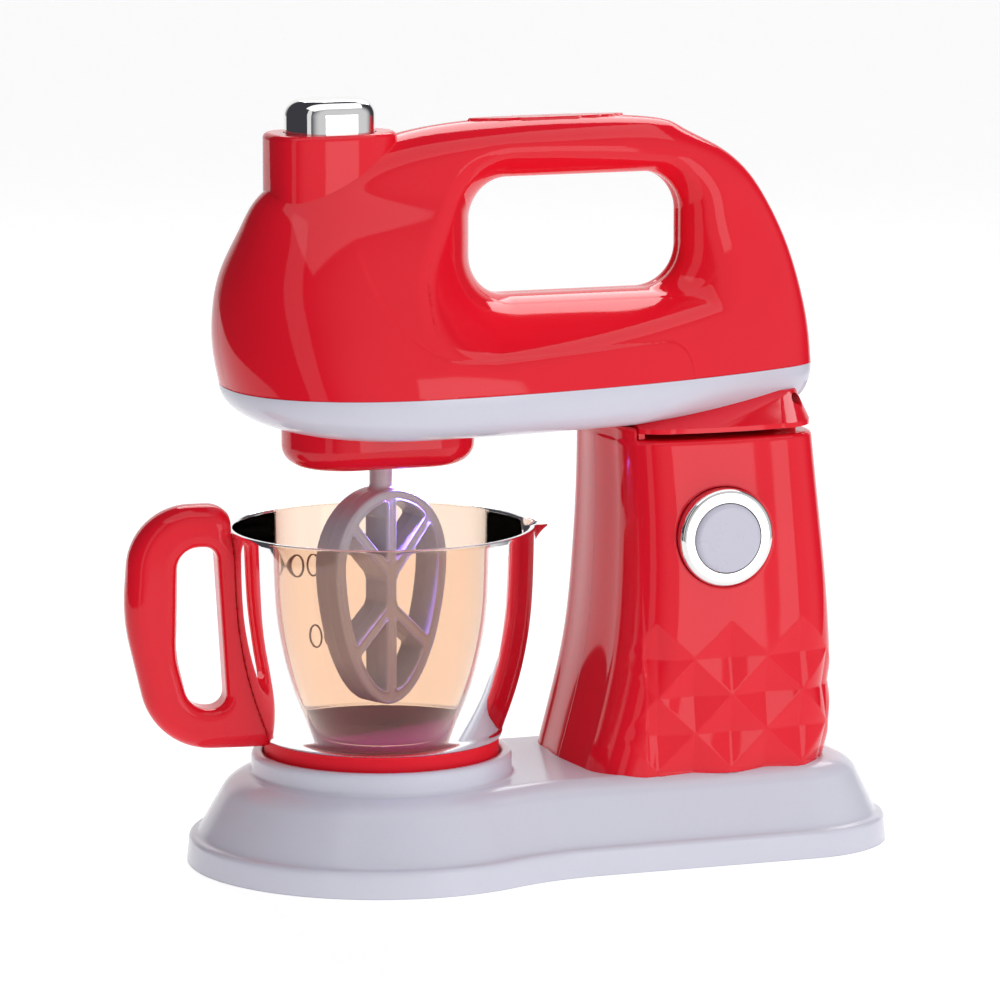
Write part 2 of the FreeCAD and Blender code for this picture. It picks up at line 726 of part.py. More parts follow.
def column_shell(side):
    outer = column_block(0.0)
    inner = column_block(COLUMN_WALL)
    foot = COLUMN_SECTIONS[0][0]
    top, front, back, half, corner = COLUMN_SECTIONS[-1]
    inner = inner.common(box(0, 100, -50, 50, foot + COLUMN_WALL, top - COLUMN_WALL))
    body = outer.cut(inner).common(half_space(side))
    body = body.cut(box(*WIRE_HOLE, foot - 1, foot + COLUMN_WALL + 1))
    body = body.cut(box(*LATCH_HOLE, top - COLUMN_WALL - 1, top + 1))
    for x, y in COLUMN_SCREW_SPOTS:
        if y * side > 0:
            body = body.fuse(cylinder(BOSS_R, x, y, foot, foot + COLUMN_SCREW_L).common(outer))
            body = body.cut(cylinder(SCREW_R, x, y, foot - 1, foot + COLUMN_SCREW_L - 1))
    solids, holes = split_bosses(COLUMN_SPLIT_SPOTS, side, COLUMN_SEAT_Y, SPLIT_SCREW_L)
    for solid in solids:
        body = body.fuse(solid.common(outer))
    for hole in holes:
        body = body.cut(hole)
    lip = prism(column_wire(top - 1, front, back, half, corner), COLUMN_LIP_TOP - top + 1)
    body = body.fuse(lip.common(box(0, COLUMN_LIP_X, -60, 60, 0, 200)).common(half_space(side)))
    y0, y1 = sorted((side * EAR_IN, side * EAR_OUT))
    ear = box(HINGE_X - EAR_R, HINGE_X + EAR_R, y0, y1, top - 1, HINGE_Z)
    ear = ear.fuse(cylinder_y(EAR_R, HINGE_X, HINGE_Z, y0, y1))
    body = body.fuse(ear).cut(cylinder_y(HINGE_R, HINGE_X, HINGE_Z, y0 - 1, y1 + 1))
    for cut in diamonds(side):
        body = body.cut(cut)
    if side < 0:
        body = button_seat(body, outer)
    return largest(body)


def button_seat(body, outer):
    """Round pocket, hole and board posts for the push button."""
    ring = cylinder_y(RING_R + 2.6, BUTTON_X, BUTTON_Z, -50, RING_BACK_Y + 2.4).common(outer)
    body = body.fuse(ring)
    body = body.cut(cylinder_y(RING_R + SEAT, BUTTON_X, BUTTON_Z, -60, RING_BACK_Y))
    body = body.cut(cylinder_y(BARREL_R + SEAT, BUTTON_X, BUTTON_Z, -60, 0))
    for x, z in board_corners():
        post = cylinder_y(BOARD_POST_R, x, z, RING_BACK_Y + 1, BOARD_Y)
        body = body.fuse(post)
    return body


def board_corners():
    spots = []
    for dx in (-1, 1):
        for dz in (-1, 1):
            spots.append((BUTTON_X + dx * BOARD_POST_DX, BUTTON_Z + dz * BOARD_POST_DZ))
    return spots


def column_screws():
    z = PLATEAU_Z - BASE_WALL
    return Part.makeCompound([screw_up(x, y, z, COLUMN_SCREW_L - 2) for x, y in COLUMN_SCREW_SPOTS])


def column_split_screws():
    return Part.makeCompound([screw_y(x, z, COLUMN_SEAT_Y, SPLIT_SCREW_L) for x, z in COLUMN_SPLIT_SPOTS])


def hinge_pin():
    reach = EAR_OUT + 0.4
    return cylinder_y(HINGE_R, HINGE_X, HINGE_Z, -reach, reach)


def button_ring():
    """Chromed ring with a barrel behind it."""
    ring = cylinder_y(RING_R, BUTTON_X, BUTTON_Z, RING_FACE_Y, RING_BACK_Y)
    face = [edge for edge in ring.Edges if abs(edge.BoundBox.YMax - RING_FACE_Y) < 1e-3]
    ring = ring.makeFillet(1.8, face)
    ring = ring.fuse(cylinder_y(BARREL_R, BUTTON_X, BUTTON_Z, RING_BACK_Y, BARREL_END_Y))
    return ring.cut(cylinder_y(CAP_R + GAP, BUTTON_X, BUTTON_Z, RING_FACE_Y - 1, BARREL_END_Y + 1))


def side_button_cap():
    cap = cylinder_y(CAP_R, BUTTON_X, BUTTON_Z, CAP_FACE_Y, BARREL_END_Y + GAP)
    face = [edge for edge in cap.Edges if abs(edge.BoundBox.YMax - CAP_FACE_Y) < 1e-3]
    cap = cap.makeFillet(1.6, face)
    flange_y = BARREL_END_Y + GAP
    cap = cap.fuse(cylinder_y(CAP_R + 1.8, BUTTON_X, BUTTON_Z, flange_y, flange_y + CAP_FLANGE_T))
    return cap.fuse(cylinder_y(CAP_STEM_R, BUTTON_X, BUTTON_Z, flange_y, CAP_STEM_Y))


def side_button_spring():
    y0 = BARREL_END_Y + GAP + CAP_FLANGE_T
    tube = cylinder_y(CAP_STEM_R + 6.2, BUTTON_X, BUTTON_Z, y0, BOARD_Y)
    return tube.cut(cylinder_y(CAP_STEM_R + 5.2, BUTTON_X, BUTTON_Z, y0 - 1, BOARD_Y + 1))


def side_switch_board():
    dx = BOARD_POST_DX + 2
    dz = BOARD_POST_DZ + 2
    board = box(BUTTON_X - dx, BUTTON_X + dx, BOARD_Y, BOARD_Y + BOARD_T, BUTTON_Z - dz, BUTTON_Z + dz)
    tip = CAP_STEM_Y + CAP_TRAVEL + GAP
    switch = box(BUTTON_X - SWITCH_HALF, BUTTON_X + SWITCH_HALF, tip + 0.8, BOARD_Y,
                 BUTTON_Z - SWITCH_HALF, BUTTON_Z + SWITCH_HALF)
    plunger = cylinder_y(1.8, BUTTON_X, BUTTON_Z, tip, tip + 1)
    return fuse([board, switch, plunger])


# Head pieces


def turret_wire(z, inset=0.0):
    """Turret outline: blunt at the nose, round towards the handle."""
    spots = []
    count = 20
    widest = TURRET_X0 + TURRET_HALF + 4
    for i in range(count):
        angle = 2 * math.pi * i / count
        c = math.cos(angle)
        s = math.sin(angle)
        power = 2.1 if c > 0 else 3.0
        reach = (TURRET_X1 - inset - widest) if c > 0 else (widest - TURRET_X0 - inset)
        x = widest + math.copysign(reach * abs(c) ** (2 / power), c)
        y = math.copysign((TURRET_HALF - inset) * abs(s) ** (2 / power), s)
        spots.append(Vector(x, y, z))
    curve = Part.BSplineCurve()
    curve.interpolate(spots, True)
    return Part.Wire([curve.toShape()])


def head_shell(side):
    outer = head_half(side).cut(opening_half(side))
    hollow = head_half(side, HEAD_WALL).cut(opening_half(side, HEAD_WALL))
    hollow = hollow.fuse(box(-150, 150, min(0, side * 60), max(0, side * 60), 140, BAND_TOP))
    body = outer.cut(hollow.common(half_space(side)))
    body = body.cut(prism(turret_wire(TURRET_WELL_Z, TURRET_WALL), 60))
    shelf = box(*SWITCH_SHELF[:2], *sorted((0, side * 60)), *SWITCH_SHELF[2:])
    body = body.fuse(shelf.common(outer))
    for x, y, z in HEAD_POSTS:
        if y * side > 0:
            post = cylinder(BOSS_R, x, y, z, BAND_TOP + 1)
            post = post.fuse(cylinder(BOSS_R, x, y, BAND_TOP, 200).common(outer))
            body = body.fuse(post).cut(cylinder(SCREW_R, x, y, z - 1, z + POST_SCREW_L))
    solids, holes = split_bosses(HEAD_SPLIT_SPOTS, side, HEAD_SEAT_Y, HEAD_SCREW_L)
    for solid in solids:
        body = body.fuse(solid.common(outer))
    for hole in holes:
        body = body.cut(hole)
    return largest(body)


def tray_outer():
    return tray_half(-1).fuse(tray_half(1)).removeSplitter()


def head_tray():
    inner = tray_half(-1, TRAY_WALL).fuse(tray_half(1, TRAY_WALL))
    body = tray_outer().cut(inner).cut(neck_outer())
    floor = TRAY_FLOOR + TRAY_WALL
    for x, y in GEARBOX_POSTS:
        body = body.fuse(cylinder(2.6, x, y, floor - 1, GEARBOX_Z))
    for x, y, z in HEAD_POSTS:
        if z < NECK_ROOF_Z:
            body = body.fuse(cylinder(BOSS_R + 0.6, x, y, TRAY_FLOOR + 1, z))
            body = body.cut(cylinder(SCREW_R, x, y, TRAY_FLOOR - 1, z + 1))
            body = body.cut(cylinder(SCREW_HEAD_R + GAP, x, y, TRAY_FLOOR - 1, z - HEAD_SEAT_T))
    body = body.cut(cylinder(BEATER_SHAFT_R + GAP, BOWL_X, 0, TRAY_FLOOR - 1, floor + 1))
    for y0, y1 in ear_slots():
        body = body.cut(box(HINGE_X - EAR_R - 0.8, 100, y0, y1, 120, HINGE_Z + EAR_R + 0.6))
    body = body.cut(cylinder_y(HINGE_R + 3.4, HINGE_X, HINGE_Z, -EAR_IN, EAR_IN))
    return largest(body)


def ear_slots():
    slots = []
    for side in (-1, 1):
        slots.append(sorted((side * (EAR_IN - GAP), side * (EAR_OUT + EAR_SLOT))))
    return slots


def neck_outer():
    """Wedge between tray and column, as wide as the column below and narrow above."""
    top, front, back, half, corner = COLUMN_SECTIONS[-1]
    back = back - 0.6
    skirt_z = NECK_BOTTOM + NECK_SKIRT
    skirt = prism(column_wire(NECK_BOTTOM, front, back, half, corner), NECK_SKIRT)
    low = column_wire(skirt_z, front, back, half, corner)
    high = column_wire(NECK_TOP, front + 8, back - 0.8, NECK_TOP_HALF, NECK_TOP_HALF * 0.5)
    wedge = Part.makeLoft([low, high], True, True)
    return skirt.fuse(wedge).common(box(NECK_X0, 100, -50, 50, 100, 200))


def neck_block():
    low = column_wire(NECK_BOTTOM - 0.1, NECK_X0 + 3.4, 70, 25, 6)
    high = column_wire(NECK_ROOF_Z, NECK_X0 + 7.4, 70, NECK_TOP_HALF - 2.6, 5)
    body = neck_outer().cut(Part.makeLoft([low, high], True, True))
    body = body.fuse(cylinder_y(HINGE_R + 2.8, HINGE_X, HINGE_Z, GAP - EAR_IN, EAR_IN - GAP))
    tongue_x = LATCH_HOLE[0] + 3.5
    tongue = box(tongue_x, tongue_x + 2.4, -5, 5, 124, NECK_ROOF_Z + 1)
    barb = Part.Face(Part.makePolygon([
        Vector(tongue_x + 2.4, -5, 127.0),
        Vector(tongue_x + 3.4, -5, 126.2),
        Vector(tongue_x + 2.4, -5, 124.4),
        Vector(tongue_x + 2.4, -5, 127.0),
    ])).extrude(Vector(0, 10, 0))
    body = body.fuse(tongue).fuse(barb)
    for side in (-1, 1):
        y0, y1 = sorted((side * 22.4, side * 24.4))
        tab_foot = COLUMN_SECTIONS[-1][0] + GAP
        body = body.fuse(box(NECK_X0 + 0.2, NECK_X0 + 2.2, y0, y1, tab_foot, NECK_BOTTOM + 0.5))
    body = body.cut(cylinder_y(HINGE_R + RUNNING, HINGE_X, HINGE_Z, -20, 20))
    for y0, y1 in ear_slots():
        body = body.cut(box(HINGE_X - EAR_R - 0.8, 100, y0, y1, 120, HINGE_Z + EAR_R + 0.6))
    for x, y, z in HEAD_POSTS:
        if z >= NECK_ROOF_Z:
            body = body.cut(cylinder(SCREW_R, x, y, NECK_ROOF_Z - 1, z + 1))
    return largest(body)


def chin_cover():
    wire = stadium(CHIN_X0, CHIN_X1, CHIN_HALF, CHIN_BOTTOM)
    outer = prism(wire, 14)
    outer = outer.makeFillet(6.5, edges_at(outer, CHIN_BOTTOM))
    inner = prism(stadium(CHIN_X0, CHIN_X1, CHIN_HALF, CHIN_BOTTOM + CHIN_WALL, -CHIN_WALL), 14)
    inner = inner.makeFillet(4.5, edges_at(inner, CHIN_BOTTOM + CHIN_WALL))
    body = outer.cut(inner).cut(tray_outer())
    body = body.cut(cylinder(BEATER_SHAFT_R + GAP, BOWL_X, 0, CHIN_BOTTOM - 1, CHIN_BOTTOM + 3))
    body = body.cut(cylinder(LENS_R, LED_X, 0, CHIN_BOTTOM - 1, CHIN_BOTTOM + 3))
    for dy in (-1, 1):
        body = body.fuse(cylinder(1.8, LED_X + 9, dy * 5, CHIN_BOTTOM + 1, LED_BOARD_Z))
    return largest(body)


def led_board():
    board = box(LED_X - 5, LED_X + 12, -8, 8, LED_BOARD_Z, LED_BOARD_Z + BOARD_T)
    chip = box(LED_X + 4, LED_X + 8, -2, 2, LED_BOARD_Z + BOARD_T, LED_BOARD_Z + BOARD_T + 1.2)
    return board.fuse(chip)


def led_lamp():
    body = cylinder(LENS_R - 1, LED_X, 0, CHIN_BOTTOM + 3, LED_BOARD_Z)
    dome = Part.makeSphere(LENS_R - 1, Vector(LED_X, 0, CHIN_BOTTOM + 3))
    return body.fuse(dome.common(box(LED_X - 9, LED_X + 9, -9, 9, CHIN_BOTTOM + 1.2, CHIN_BOTTOM + 3.1)))


def led_lens():
    disc = cylinder(LENS_R, LED_X, 0, CHIN_BOTTOM, CHIN_BOTTOM + 1.0)
    return disc.fuse(cylinder(LENS_R + 1.2, LED_X, 0, CHIN_BOTTOM + CHIN_WALL, CHIN_BOTTOM + 3).cut(
        cylinder(LENS_R - 1, LED_X, 0, CHIN_BOTTOM, CHIN_BOTTOM + 4))).fuse(
        cylinder(LENS_R, LED_X, 0, CHIN_BOTTOM, CHIN_BOTTOM + CHIN_WALL).cut(
            cylinder(LENS_R - 1, LED_X, 0, CHIN_BOTTOM + 0.8, CHIN_BOTTOM + 4)))


def button_turret():
    body = prism(turret_wire(190), TURRET_TOP - 190)
    body = body.makeFillet(1.8, edges_at(body, TURRET_TOP))
    well = prism(turret_wire(180, TURRET_WALL), TURRET_TOP - TURRET_WALL - 180)
    hole = prism(stadium(TOP_BUTTON_X0, TOP_BUTTON_X1, TOP_BUTTON_HALF, 200, GAP), 40)
    body = body.cut(well).cut(hole)
    halves = [largest(body.common(half_space(side)).cut(head_half(side))) for side in (-1, 1)]
    return largest(halves[0].fuse(halves[1]))


def top_button():
    cap = prism(stadium(TOP_BUTTON_X0, TOP_BUTTON_X1, TOP_BUTTON_HALF, CAP_FOOT_Z),
                TOP_BUTTON_TOP - CAP_FOOT_Z)
    cap = cap.makeFillet(5.0, edges_at(cap, TOP_BUTTON_TOP))
    flange_wire = stadium(TOP_BUTTON_X0 - 1.2, TOP_BUTTON_X1 + 1.2, TOP_BUTTON_HALF, CAP_FOOT_Z)
    flange = prism(flange_wire, CAP_FLANGE_T)
    stem = cylinder(TOP_STEM_R, TOP_BUTTON_MID, 0, TOP_STEM_Z, CAP_FOOT_Z + 1)
    return fuse([cap, flange, stem])


def top_button_spring():
    z0 = SWITCH_SHELF[3] + BOARD_T
    tube = cylinder(TOP_STEM_R + 5.0, TOP_BUTTON_MID, 0, z0, CAP_FOOT_Z)
    return tube.cut(cylinder(TOP_STEM_R + 4.0, TOP_BUTTON_MID, 0, z0 - 1, CAP_FOOT_Z + 1))


def top_switch_board():
    z = SWITCH_SHELF[3]
    board = box(TOP_BUTTON_MID - 10, TOP_BUTTON_MID + 10, -9, 9, z, z + BOARD_T)
    tip = TOP_STEM_Z - TOP_TRAVEL - GAP
    switch = box(TOP_BUTTON_MID - SWITCH_HALF, TOP_BUTTON_MID + SWITCH_HALF, -SWITCH_HALF, SWITCH_HALF,
                 z + BOARD_T, tip - 0.8)
    return fuse([board, switch, cylinder(1.8, TOP_BUTTON_MID, 0, tip - 1, tip)])


# Gear train and motor


def gear(teeth, x, y, z0, z1, bore, turn):
    """Spur gear with involute flanks, eased so that meshing teeth keep a little play."""
    pitch = MODULE * teeth / 2
    base = pitch * math.cos(math.radians(20))
    tip = pitch + 0.8 * MODULE
    root = pitch - 1.1 * MODULE
    half = math.pi / (2 * teeth) - BACKLASH / 2 / pitch
    roll = math.tan(math.radians(20)) - math.radians(20)
    start = max(base, root)
    spots = []
    for i in range(teeth):
        middle = turn + 2 * math.pi * i / teeth
        flank = []
        for step in range(4):
            r = start + (tip - start) * step / 3
            pressure = math.acos(min(1.0, base / r))
            flank.append((r, half + roll - (math.tan(pressure) - pressure)))
        run = [(root, -flank[0][1])] + [(r, -a) for r, a in flank]
        run += [(r, a) for r, a in reversed(flank)] + [(root, flank[0][1])]
        for r, a in run:
            spots.append(Vector(x + r * math.cos(middle + a), y + r * math.sin(middle + a), z0))
    spots.append(spots[0])
    outline = Part.Wire(Part.makePolygon([p for i, p in enumerate(spots) if i == 0 or p != spots[i - 1]]))
    body = prism(outline, z1 - z0)
    return body.cut(cylinder(bore, x, y, z0 - 1, z1 + 1)) if bore else body


def beater_gear():
    hub = cylinder(SPINDLE_R + 2, BOWL_X, 0, GEARBOX_Z + GEARBOX_T + GAP, BEATER_GEAR_Z + 1)
    body = gear(WHEEL_TEETH, BOWL_X, 0, BEATER_GEAR_Z, BEATER_GEAR_Z + GEAR_FACE, 0, math.pi / WHEEL_TEETH)
    return body.fuse(hub).cut(cylinder(SPINDLE_R, BOWL_X, 0, GEARBOX_Z, BEATER_GEAR_Z + GEAR_FACE + 1))


def beater_spindle():
    top = BEATER_GEAR_Z + GEAR_FACE
    return cylinder(SPINDLE_R, BOWL_X, 0, SPINDLE_FOOT_Z, top).fuse(
        cylinder(SPINDLE_TOP_R, BOWL_X, 0, top, GEARBOX_COVER_Z + GEARBOX_T - GAP))


def reduction_gear():
    wheel_z = BEATER_GEAR_Z + GEAR_STEP
    small = gear(PINION_TEETH, REDUCTION_X, 0, GEARBOX_Z + GEARBOX_T + GAP, wheel_z, 0, 0)
    wheel = gear(WHEEL_TEETH, REDUCTION_X, 0, wheel_z, wheel_z + GEAR_FACE - 1, 0, math.pi / WHEEL_TEETH)
    hub = cylinder(2.2, REDUCTION_X, 0, wheel_z, GEARBOX_COVER_Z - GAP)
    bore = cylinder(AXLE_R + RUNNING, REDUCTION_X, 0, GEARBOX_Z, GEARBOX_COVER_Z + 5)
    return fuse([small, wheel, hub]).cut(bore)


def gear_axle():
    return cylinder(AXLE_R, REDUCTION_X, 0, GEARBOX_Z, GEARBOX_COVER_Z + GEARBOX_T)


def motor_pinion():
    z = BEATER_GEAR_Z + GEAR_STEP
    return gear(PINION_TEETH, MOTOR_X, 0, z - 0.4, z + GEAR_FACE - 0.6, MOTOR_SHAFT_R, 0)


def motor_shaft():
    return cylinder(MOTOR_SHAFT_R, MOTOR_X, 0, BEATER_GEAR_Z + GEAR_STEP - 0.4, MOTOR_Z + 20)


def motor():
    can = cylinder(MOTOR_R, MOTOR_X, 0, MOTOR_Z, MOTOR_Z + MOTOR_L)
    can = can.common(box(MOTOR_X - 20, MOTOR_X + 20, -MOTOR_FLAT, MOTOR_FLAT, 0, 300))
    cap = cylinder(MOTOR_R - 2.5, MOTOR_X, 0, MOTOR_Z + MOTOR_L, MOTOR_Z + MOTOR_L + 1.6)
    top = MOTOR_Z + MOTOR_L
    tabs = [box(MOTOR_X + dx - 0.4, MOTOR_X + dx + 0.4, -1.2, 1.2, top + 1, top + 4) for dx in (-5, 5)]
    body = fuse([can, cap] + tabs)
    return body.cut(cylinder(MOTOR_SHAFT_R + RUNNING, MOTOR_X, 0, MOTOR_Z - 1, MOTOR_Z + 20.5))


def gearbox_outline(z, x0):
    x1 = BOWL_X + GEARBOX_REACH
    corners = [
        Vector(x0, -GEARBOX_HALF, z),
        Vector(x1, -GEARBOX_HALF, z),
        Vector(x1, GEARBOX_HALF, z),
        Vector(x0, GEARBOX_HALF, z),
    ]
    return rounded_wire(corners, [10.0] * 4)


def gearbox_base():
    body = prism(gearbox_outline(GEARBOX_Z, MOTOR_X - 3.6), GEARBOX_T)
    body = body.cut(cylinder(SPINDLE_R + RUNNING, BOWL_X, 0, GEARBOX_Z - 1, GEARBOX_Z + 5))
    body = body.cut(cylinder(AXLE_R, REDUCTION_X, 0, GEARBOX_Z - 1, GEARBOX_Z + 5))
    for x, y in GEARBOX_PILLARS:
        body = body.fuse(cylinder(2.2, x, y, GEARBOX_Z, GEARBOX_COVER_Z))
        body = body.cut(cylinder(PILLAR_SCREW_R, x, y, GEARBOX_COVER_Z - 7, GEARBOX_COVER_Z + 1))
    return body


def gearbox_cover():
    body = prism(gearbox_outline(GEARBOX_COVER_Z, MOTOR_X - MOTOR_R - 1.6), GEARBOX_T)
    body = body.cut(cylinder(SPINDLE_TOP_R + RUNNING, BOWL_X, 0, GEARBOX_COVER_Z - 1, GEARBOX_COVER_Z + 5))
    body = body.cut(cylinder(AXLE_R, REDUCTION_X, 0, GEARBOX_COVER_Z - 1, GEARBOX_COVER_Z + 5))
    body = body.cut(cylinder(MOTOR_SHAFT_R + 1, MOTOR_X, 0, GEARBOX_COVER_Z - 1, GEARBOX_COVER_Z + 5))
    for x, y in GEARBOX_PILLARS:
        body = body.cut(cylinder(PILLAR_SCREW_R, x, y, GEARBOX_COVER_Z - 1, GEARBOX_COVER_Z + 5))
    wall = cylinder(MOTOR_R + 1.6, MOTOR_X, 0, MOTOR_Z, MOTOR_Z + 5).common(
        box(MOTOR_X - 30, MOTOR_X + 30, -MOTOR_FLAT - 1.6, MOTOR_FLAT + 1.6, 0, 300))
    cup = cylinder(MOTOR_R, MOTOR_X, 0, MOTOR_Z, MOTOR_Z + 6).common(
        box(MOTOR_X - 30, MOTOR_X + 30, -MOTOR_FLAT, MOTOR_FLAT, 0, 300))
    return body.fuse(wall.cut(cup))


def gearbox_screws():
    screws = []
    z = GEARBOX_COVER_Z + GEARBOX_T
    for x, y in GEARBOX_PILLARS:
        head = cylinder(PILLAR_SCREW_R * 1.9, x, y, z, z + 1.2)
        screws.append(head.fuse(cylinder(PILLAR_SCREW_R, x, y, z - 8, z)))
    return Part.makeCompound(screws)


def head_split_screws():
    return Part.makeCompound([screw_y(x, z, HEAD_SEAT_Y, HEAD_SCREW_L) for x, z in HEAD_SPLIT_SPOTS])


def head_floor_screws():
    screws = []
    for x, y, z in HEAD_POSTS:
        seat = NECK_ROOF_Z if z >= NECK_ROOF_Z else z - HEAD_SEAT_T
        screws.append(screw_up(x, y, seat, POST_SCREW_L))
    return Part.makeCompound(screws)


# Beater


def beater_outline(shrink):
    """Egg-shaped outline of the beater in its own plane, wide above, drawn to a round tip below."""
    spots = []
    count = 28
    half = BEATER_HALF_W - shrink
    for i in range(count):
        angle = 2 * math.pi * i / count
        c = math.cos(angle)
        s = math.sin(angle)
        power = 2.0 if s > 0 else 1.75
        reach = (BEATER_TOP - BEATER_WIDE_Z) if s > 0 else (BEATER_WIDE_Z - BEATER_BOTTOM)
        u = math.copysign(half * abs(c) ** (2 / 2.0), c)
        z = BEATER_WIDE_Z + math.copysign((reach - shrink) * abs(s) ** (2 / power), s)
        spots.append(Vector(u, 0, z))
    curve = Part.BSplineCurve()
    curve.interpolate(spots, True)
    return Part.Wire([curve.toShape()])


def spoke(a, b, width):
    """Straight bar between two spots of the beater's plane."""
    start = Vector(a[0], -BEATER_HALF_T, a[1])
    along = Vector(b[0] - a[0], 0, b[1] - a[1])
    across = Vector(-along.z, 0, along.x).normalize() * (width / 2)
    corners = [start + across, start - across, start - across + along, start + across + along]
    return Part.Face(Part.makePolygon(corners + [corners[0]])).extrude(Vector(0, 2 * BEATER_HALF_T, 0))


def beater_paddle():
    thick = Vector(0, 2 * BEATER_HALF_T, 0)
    outer = Part.Face(beater_outline(0.0)).extrude(thick)
    outer.translate(Vector(0, -BEATER_HALF_T, 0))
    window = Part.Face(beater_outline(BEATER_RIM)).extrude(thick)
    window.translate(Vector(0, -BEATER_HALF_T, 0))
    bars = [spoke((0, BEATER_BOTTOM + 2), (0, BEATER_TOP - 2), BEATER_BAR)]
    for side in (-1, 1):
        bars.append(spoke((0, BEATER_HUB_HIGH), (side * 18, BEATER_SPOKE_HIGH), BEATER_BAR))
        bars.append(spoke((0, BEATER_HUB_LOW), (side * 17, BEATER_SPOKE_LOW), BEATER_BAR))
    bars.append(spoke((0, BEATER_HUB_LOW - 3), (0, BEATER_HUB_HIGH + 3), BEATER_BAR + 2.4))
    frame = outer.cut(window)
    for bar in bars:
        frame = frame.fuse(bar.common(outer))
    shaft = cylinder(BEATER_SHAFT_R, 0, 0, BEATER_TOP - 6, BEATER_SHAFT_TOP)
    body = frame.fuse(shaft)
    body = body.cut(cylinder(SPINDLE_R, 0, 0, SPINDLE_FOOT_Z, BEATER_SHAFT_TOP + 1))
    body.rotate(Vector(0, 0, 0), Vector(0, 0, 1), BEATER_PLANE_ANGLE)
    body.translate(Vector(BOWL_X, 0, 0))
    return largest(body)


# Bowl


def bowl_profile(shrink, foot_z, top_z):
    """Half section of the bowl, filled to its axis."""
    curve = Part.BSplineCurve()
    curve.interpolate([Vector(r - shrink, 0, z) for r, z in BOWL_PROFILE])
    side = curve.toShape()
    low = Vector(BOWL_PROFILE[0][0] - shrink, 0, BOWL_PROFILE[0][1])
    high = Vector(BOWL_PROFILE[-1][0] - shrink, 0, BOWL_PROFILE[-1][1])
    loop = [side]
    rim = Vector(high.x, 0, top_z)
    corners = [high, rim, Vector(0, 0, top_z), Vector(0, 0, foot_z), Vector(low.x, 0, foot_z), low]
    for a, b in zip(corners, corners[1:]):
        if (b - a).Length > 1e-6:
            loop.append(Part.LineSegment(a, b).toShape())
    return Part.Face(Part.Wire(loop)).revolve(Vector(0, 0, 0), Vector(0, 0, 1), 360)


def bowl_filled():
    body = bowl_profile(0.0, BOWL_PROFILE[0][1], RIM_Z)
    body.translate(Vector(BOWL_X, 0, 0))
    return body


def bowl_body():
    outer = bowl_profile(0.0, BOWL_PROFILE[0][1], RIM_Z)
    inner = bowl_profile(BOWL_WALL, BOWL_PROFILE[0][1], RIM_Z + 5)
    inner = inner.cut(cylinder(60, 0, 0, 0, BOWL_PROFILE[0][1] + BOWL_FLOOR_T))
    spout = Part.makeCone(SPOUT_R, 1.8, SPOUT_REACH - SPOUT_ROOT,
                          Vector(SPOUT_ROOT, 0, RIM_Z), Vector(1, 0, -SPOUT_DROP))
    channel = Part.makeCone(SPOUT_R - BOWL_WALL, 0.6, SPOUT_REACH - SPOUT_ROOT,
                            Vector(SPOUT_ROOT, 0, RIM_Z + 0.3), Vector(1, 0, -SPOUT_DROP))
    spout = spout.common(box(30, 70, -20, 20, 60, RIM_Z))
    body = outer.fuse(spout).cut(inner).cut(channel.common(box(30, 70, -20, 20, 60, RIM_Z + 5)))
    body = largest(body)
    body.rotate(Vector(0, 0, 0), Vector(0, 0, 1), SPOUT_ANGLE)
    body.translate(Vector(BOWL_X, 0, 0))
    return body


def bowl_cup():
    """Shallow coloured dish that the clear bowl stands in."""
    foot = SEAT_TOP - SEAT_DEPTH + GAP
    top = BOWL_PROFILE[0][1]
    body = cylinder(CUP_R, BOWL_X, 0, foot, top)
    body = body.makeFillet(0.8, edges_at(body, foot))
    return body.cut(cylinder(CUP_R - 2.2, BOWL_X, 0, foot - 1, top - 2.2))


def side_edges(shape, x_min):
    """Edges that lie in a flat side of a piece cut from a plate, beyond one x."""
    found = []
    for edge in shape.Edges:
        box_ = edge.BoundBox
        if box_.YLength < 1e-3 and box_.XMin > x_min:
            found.append(edge)
    return found


def bowl_handle():
    """Closed loop handle, cut to lie against the bowl and its cup."""
    half = HANDLE_T / 2
    outline = [Vector(r, -half, z) for r, z in HANDLE_OUTLINE]
    outer = Part.Face(rounded_wire(outline, HANDLE_RADII)).extrude(Vector(0, HANDLE_T, 0))
    outer = outer.makeFillet(HANDLE_EDGE_R, side_edges(outer, HANDLE_OUTLINE[0][0] + 12))
    hole_spots = [Vector(r, -half, z) for r, z in HANDLE_HOLE]
    hole = Part.Face(rounded_wire(hole_spots, HANDLE_HOLE_RADII)).extrude(Vector(0, HANDLE_T, 0))
    body = outer.cut(hole)
    box_ = hole.BoundBox
    rims = [edge for edge in side_edges(body, box_.XMin - 0.1) if edge.BoundBox.XMax < box_.XMax + 0.1
            and edge.BoundBox.ZMin > box_.ZMin - 0.1 and edge.BoundBox.ZMax < box_.ZMax + 0.1]
    body = body.makeFillet(HANDLE_HOLE_EDGE_R, rims)
    body.rotate(Vector(0, 0, 0), Vector(0, 0, 1), HANDLE_ANGLE)
    body.translate(Vector(BOWL_X, 0, 0))
    body = body.cut(bowl_filled()).cut(cylinder(CUP_R, BOWL_X, 0, 0, BOWL_PROFILE[0][1]))
    return largest(body)


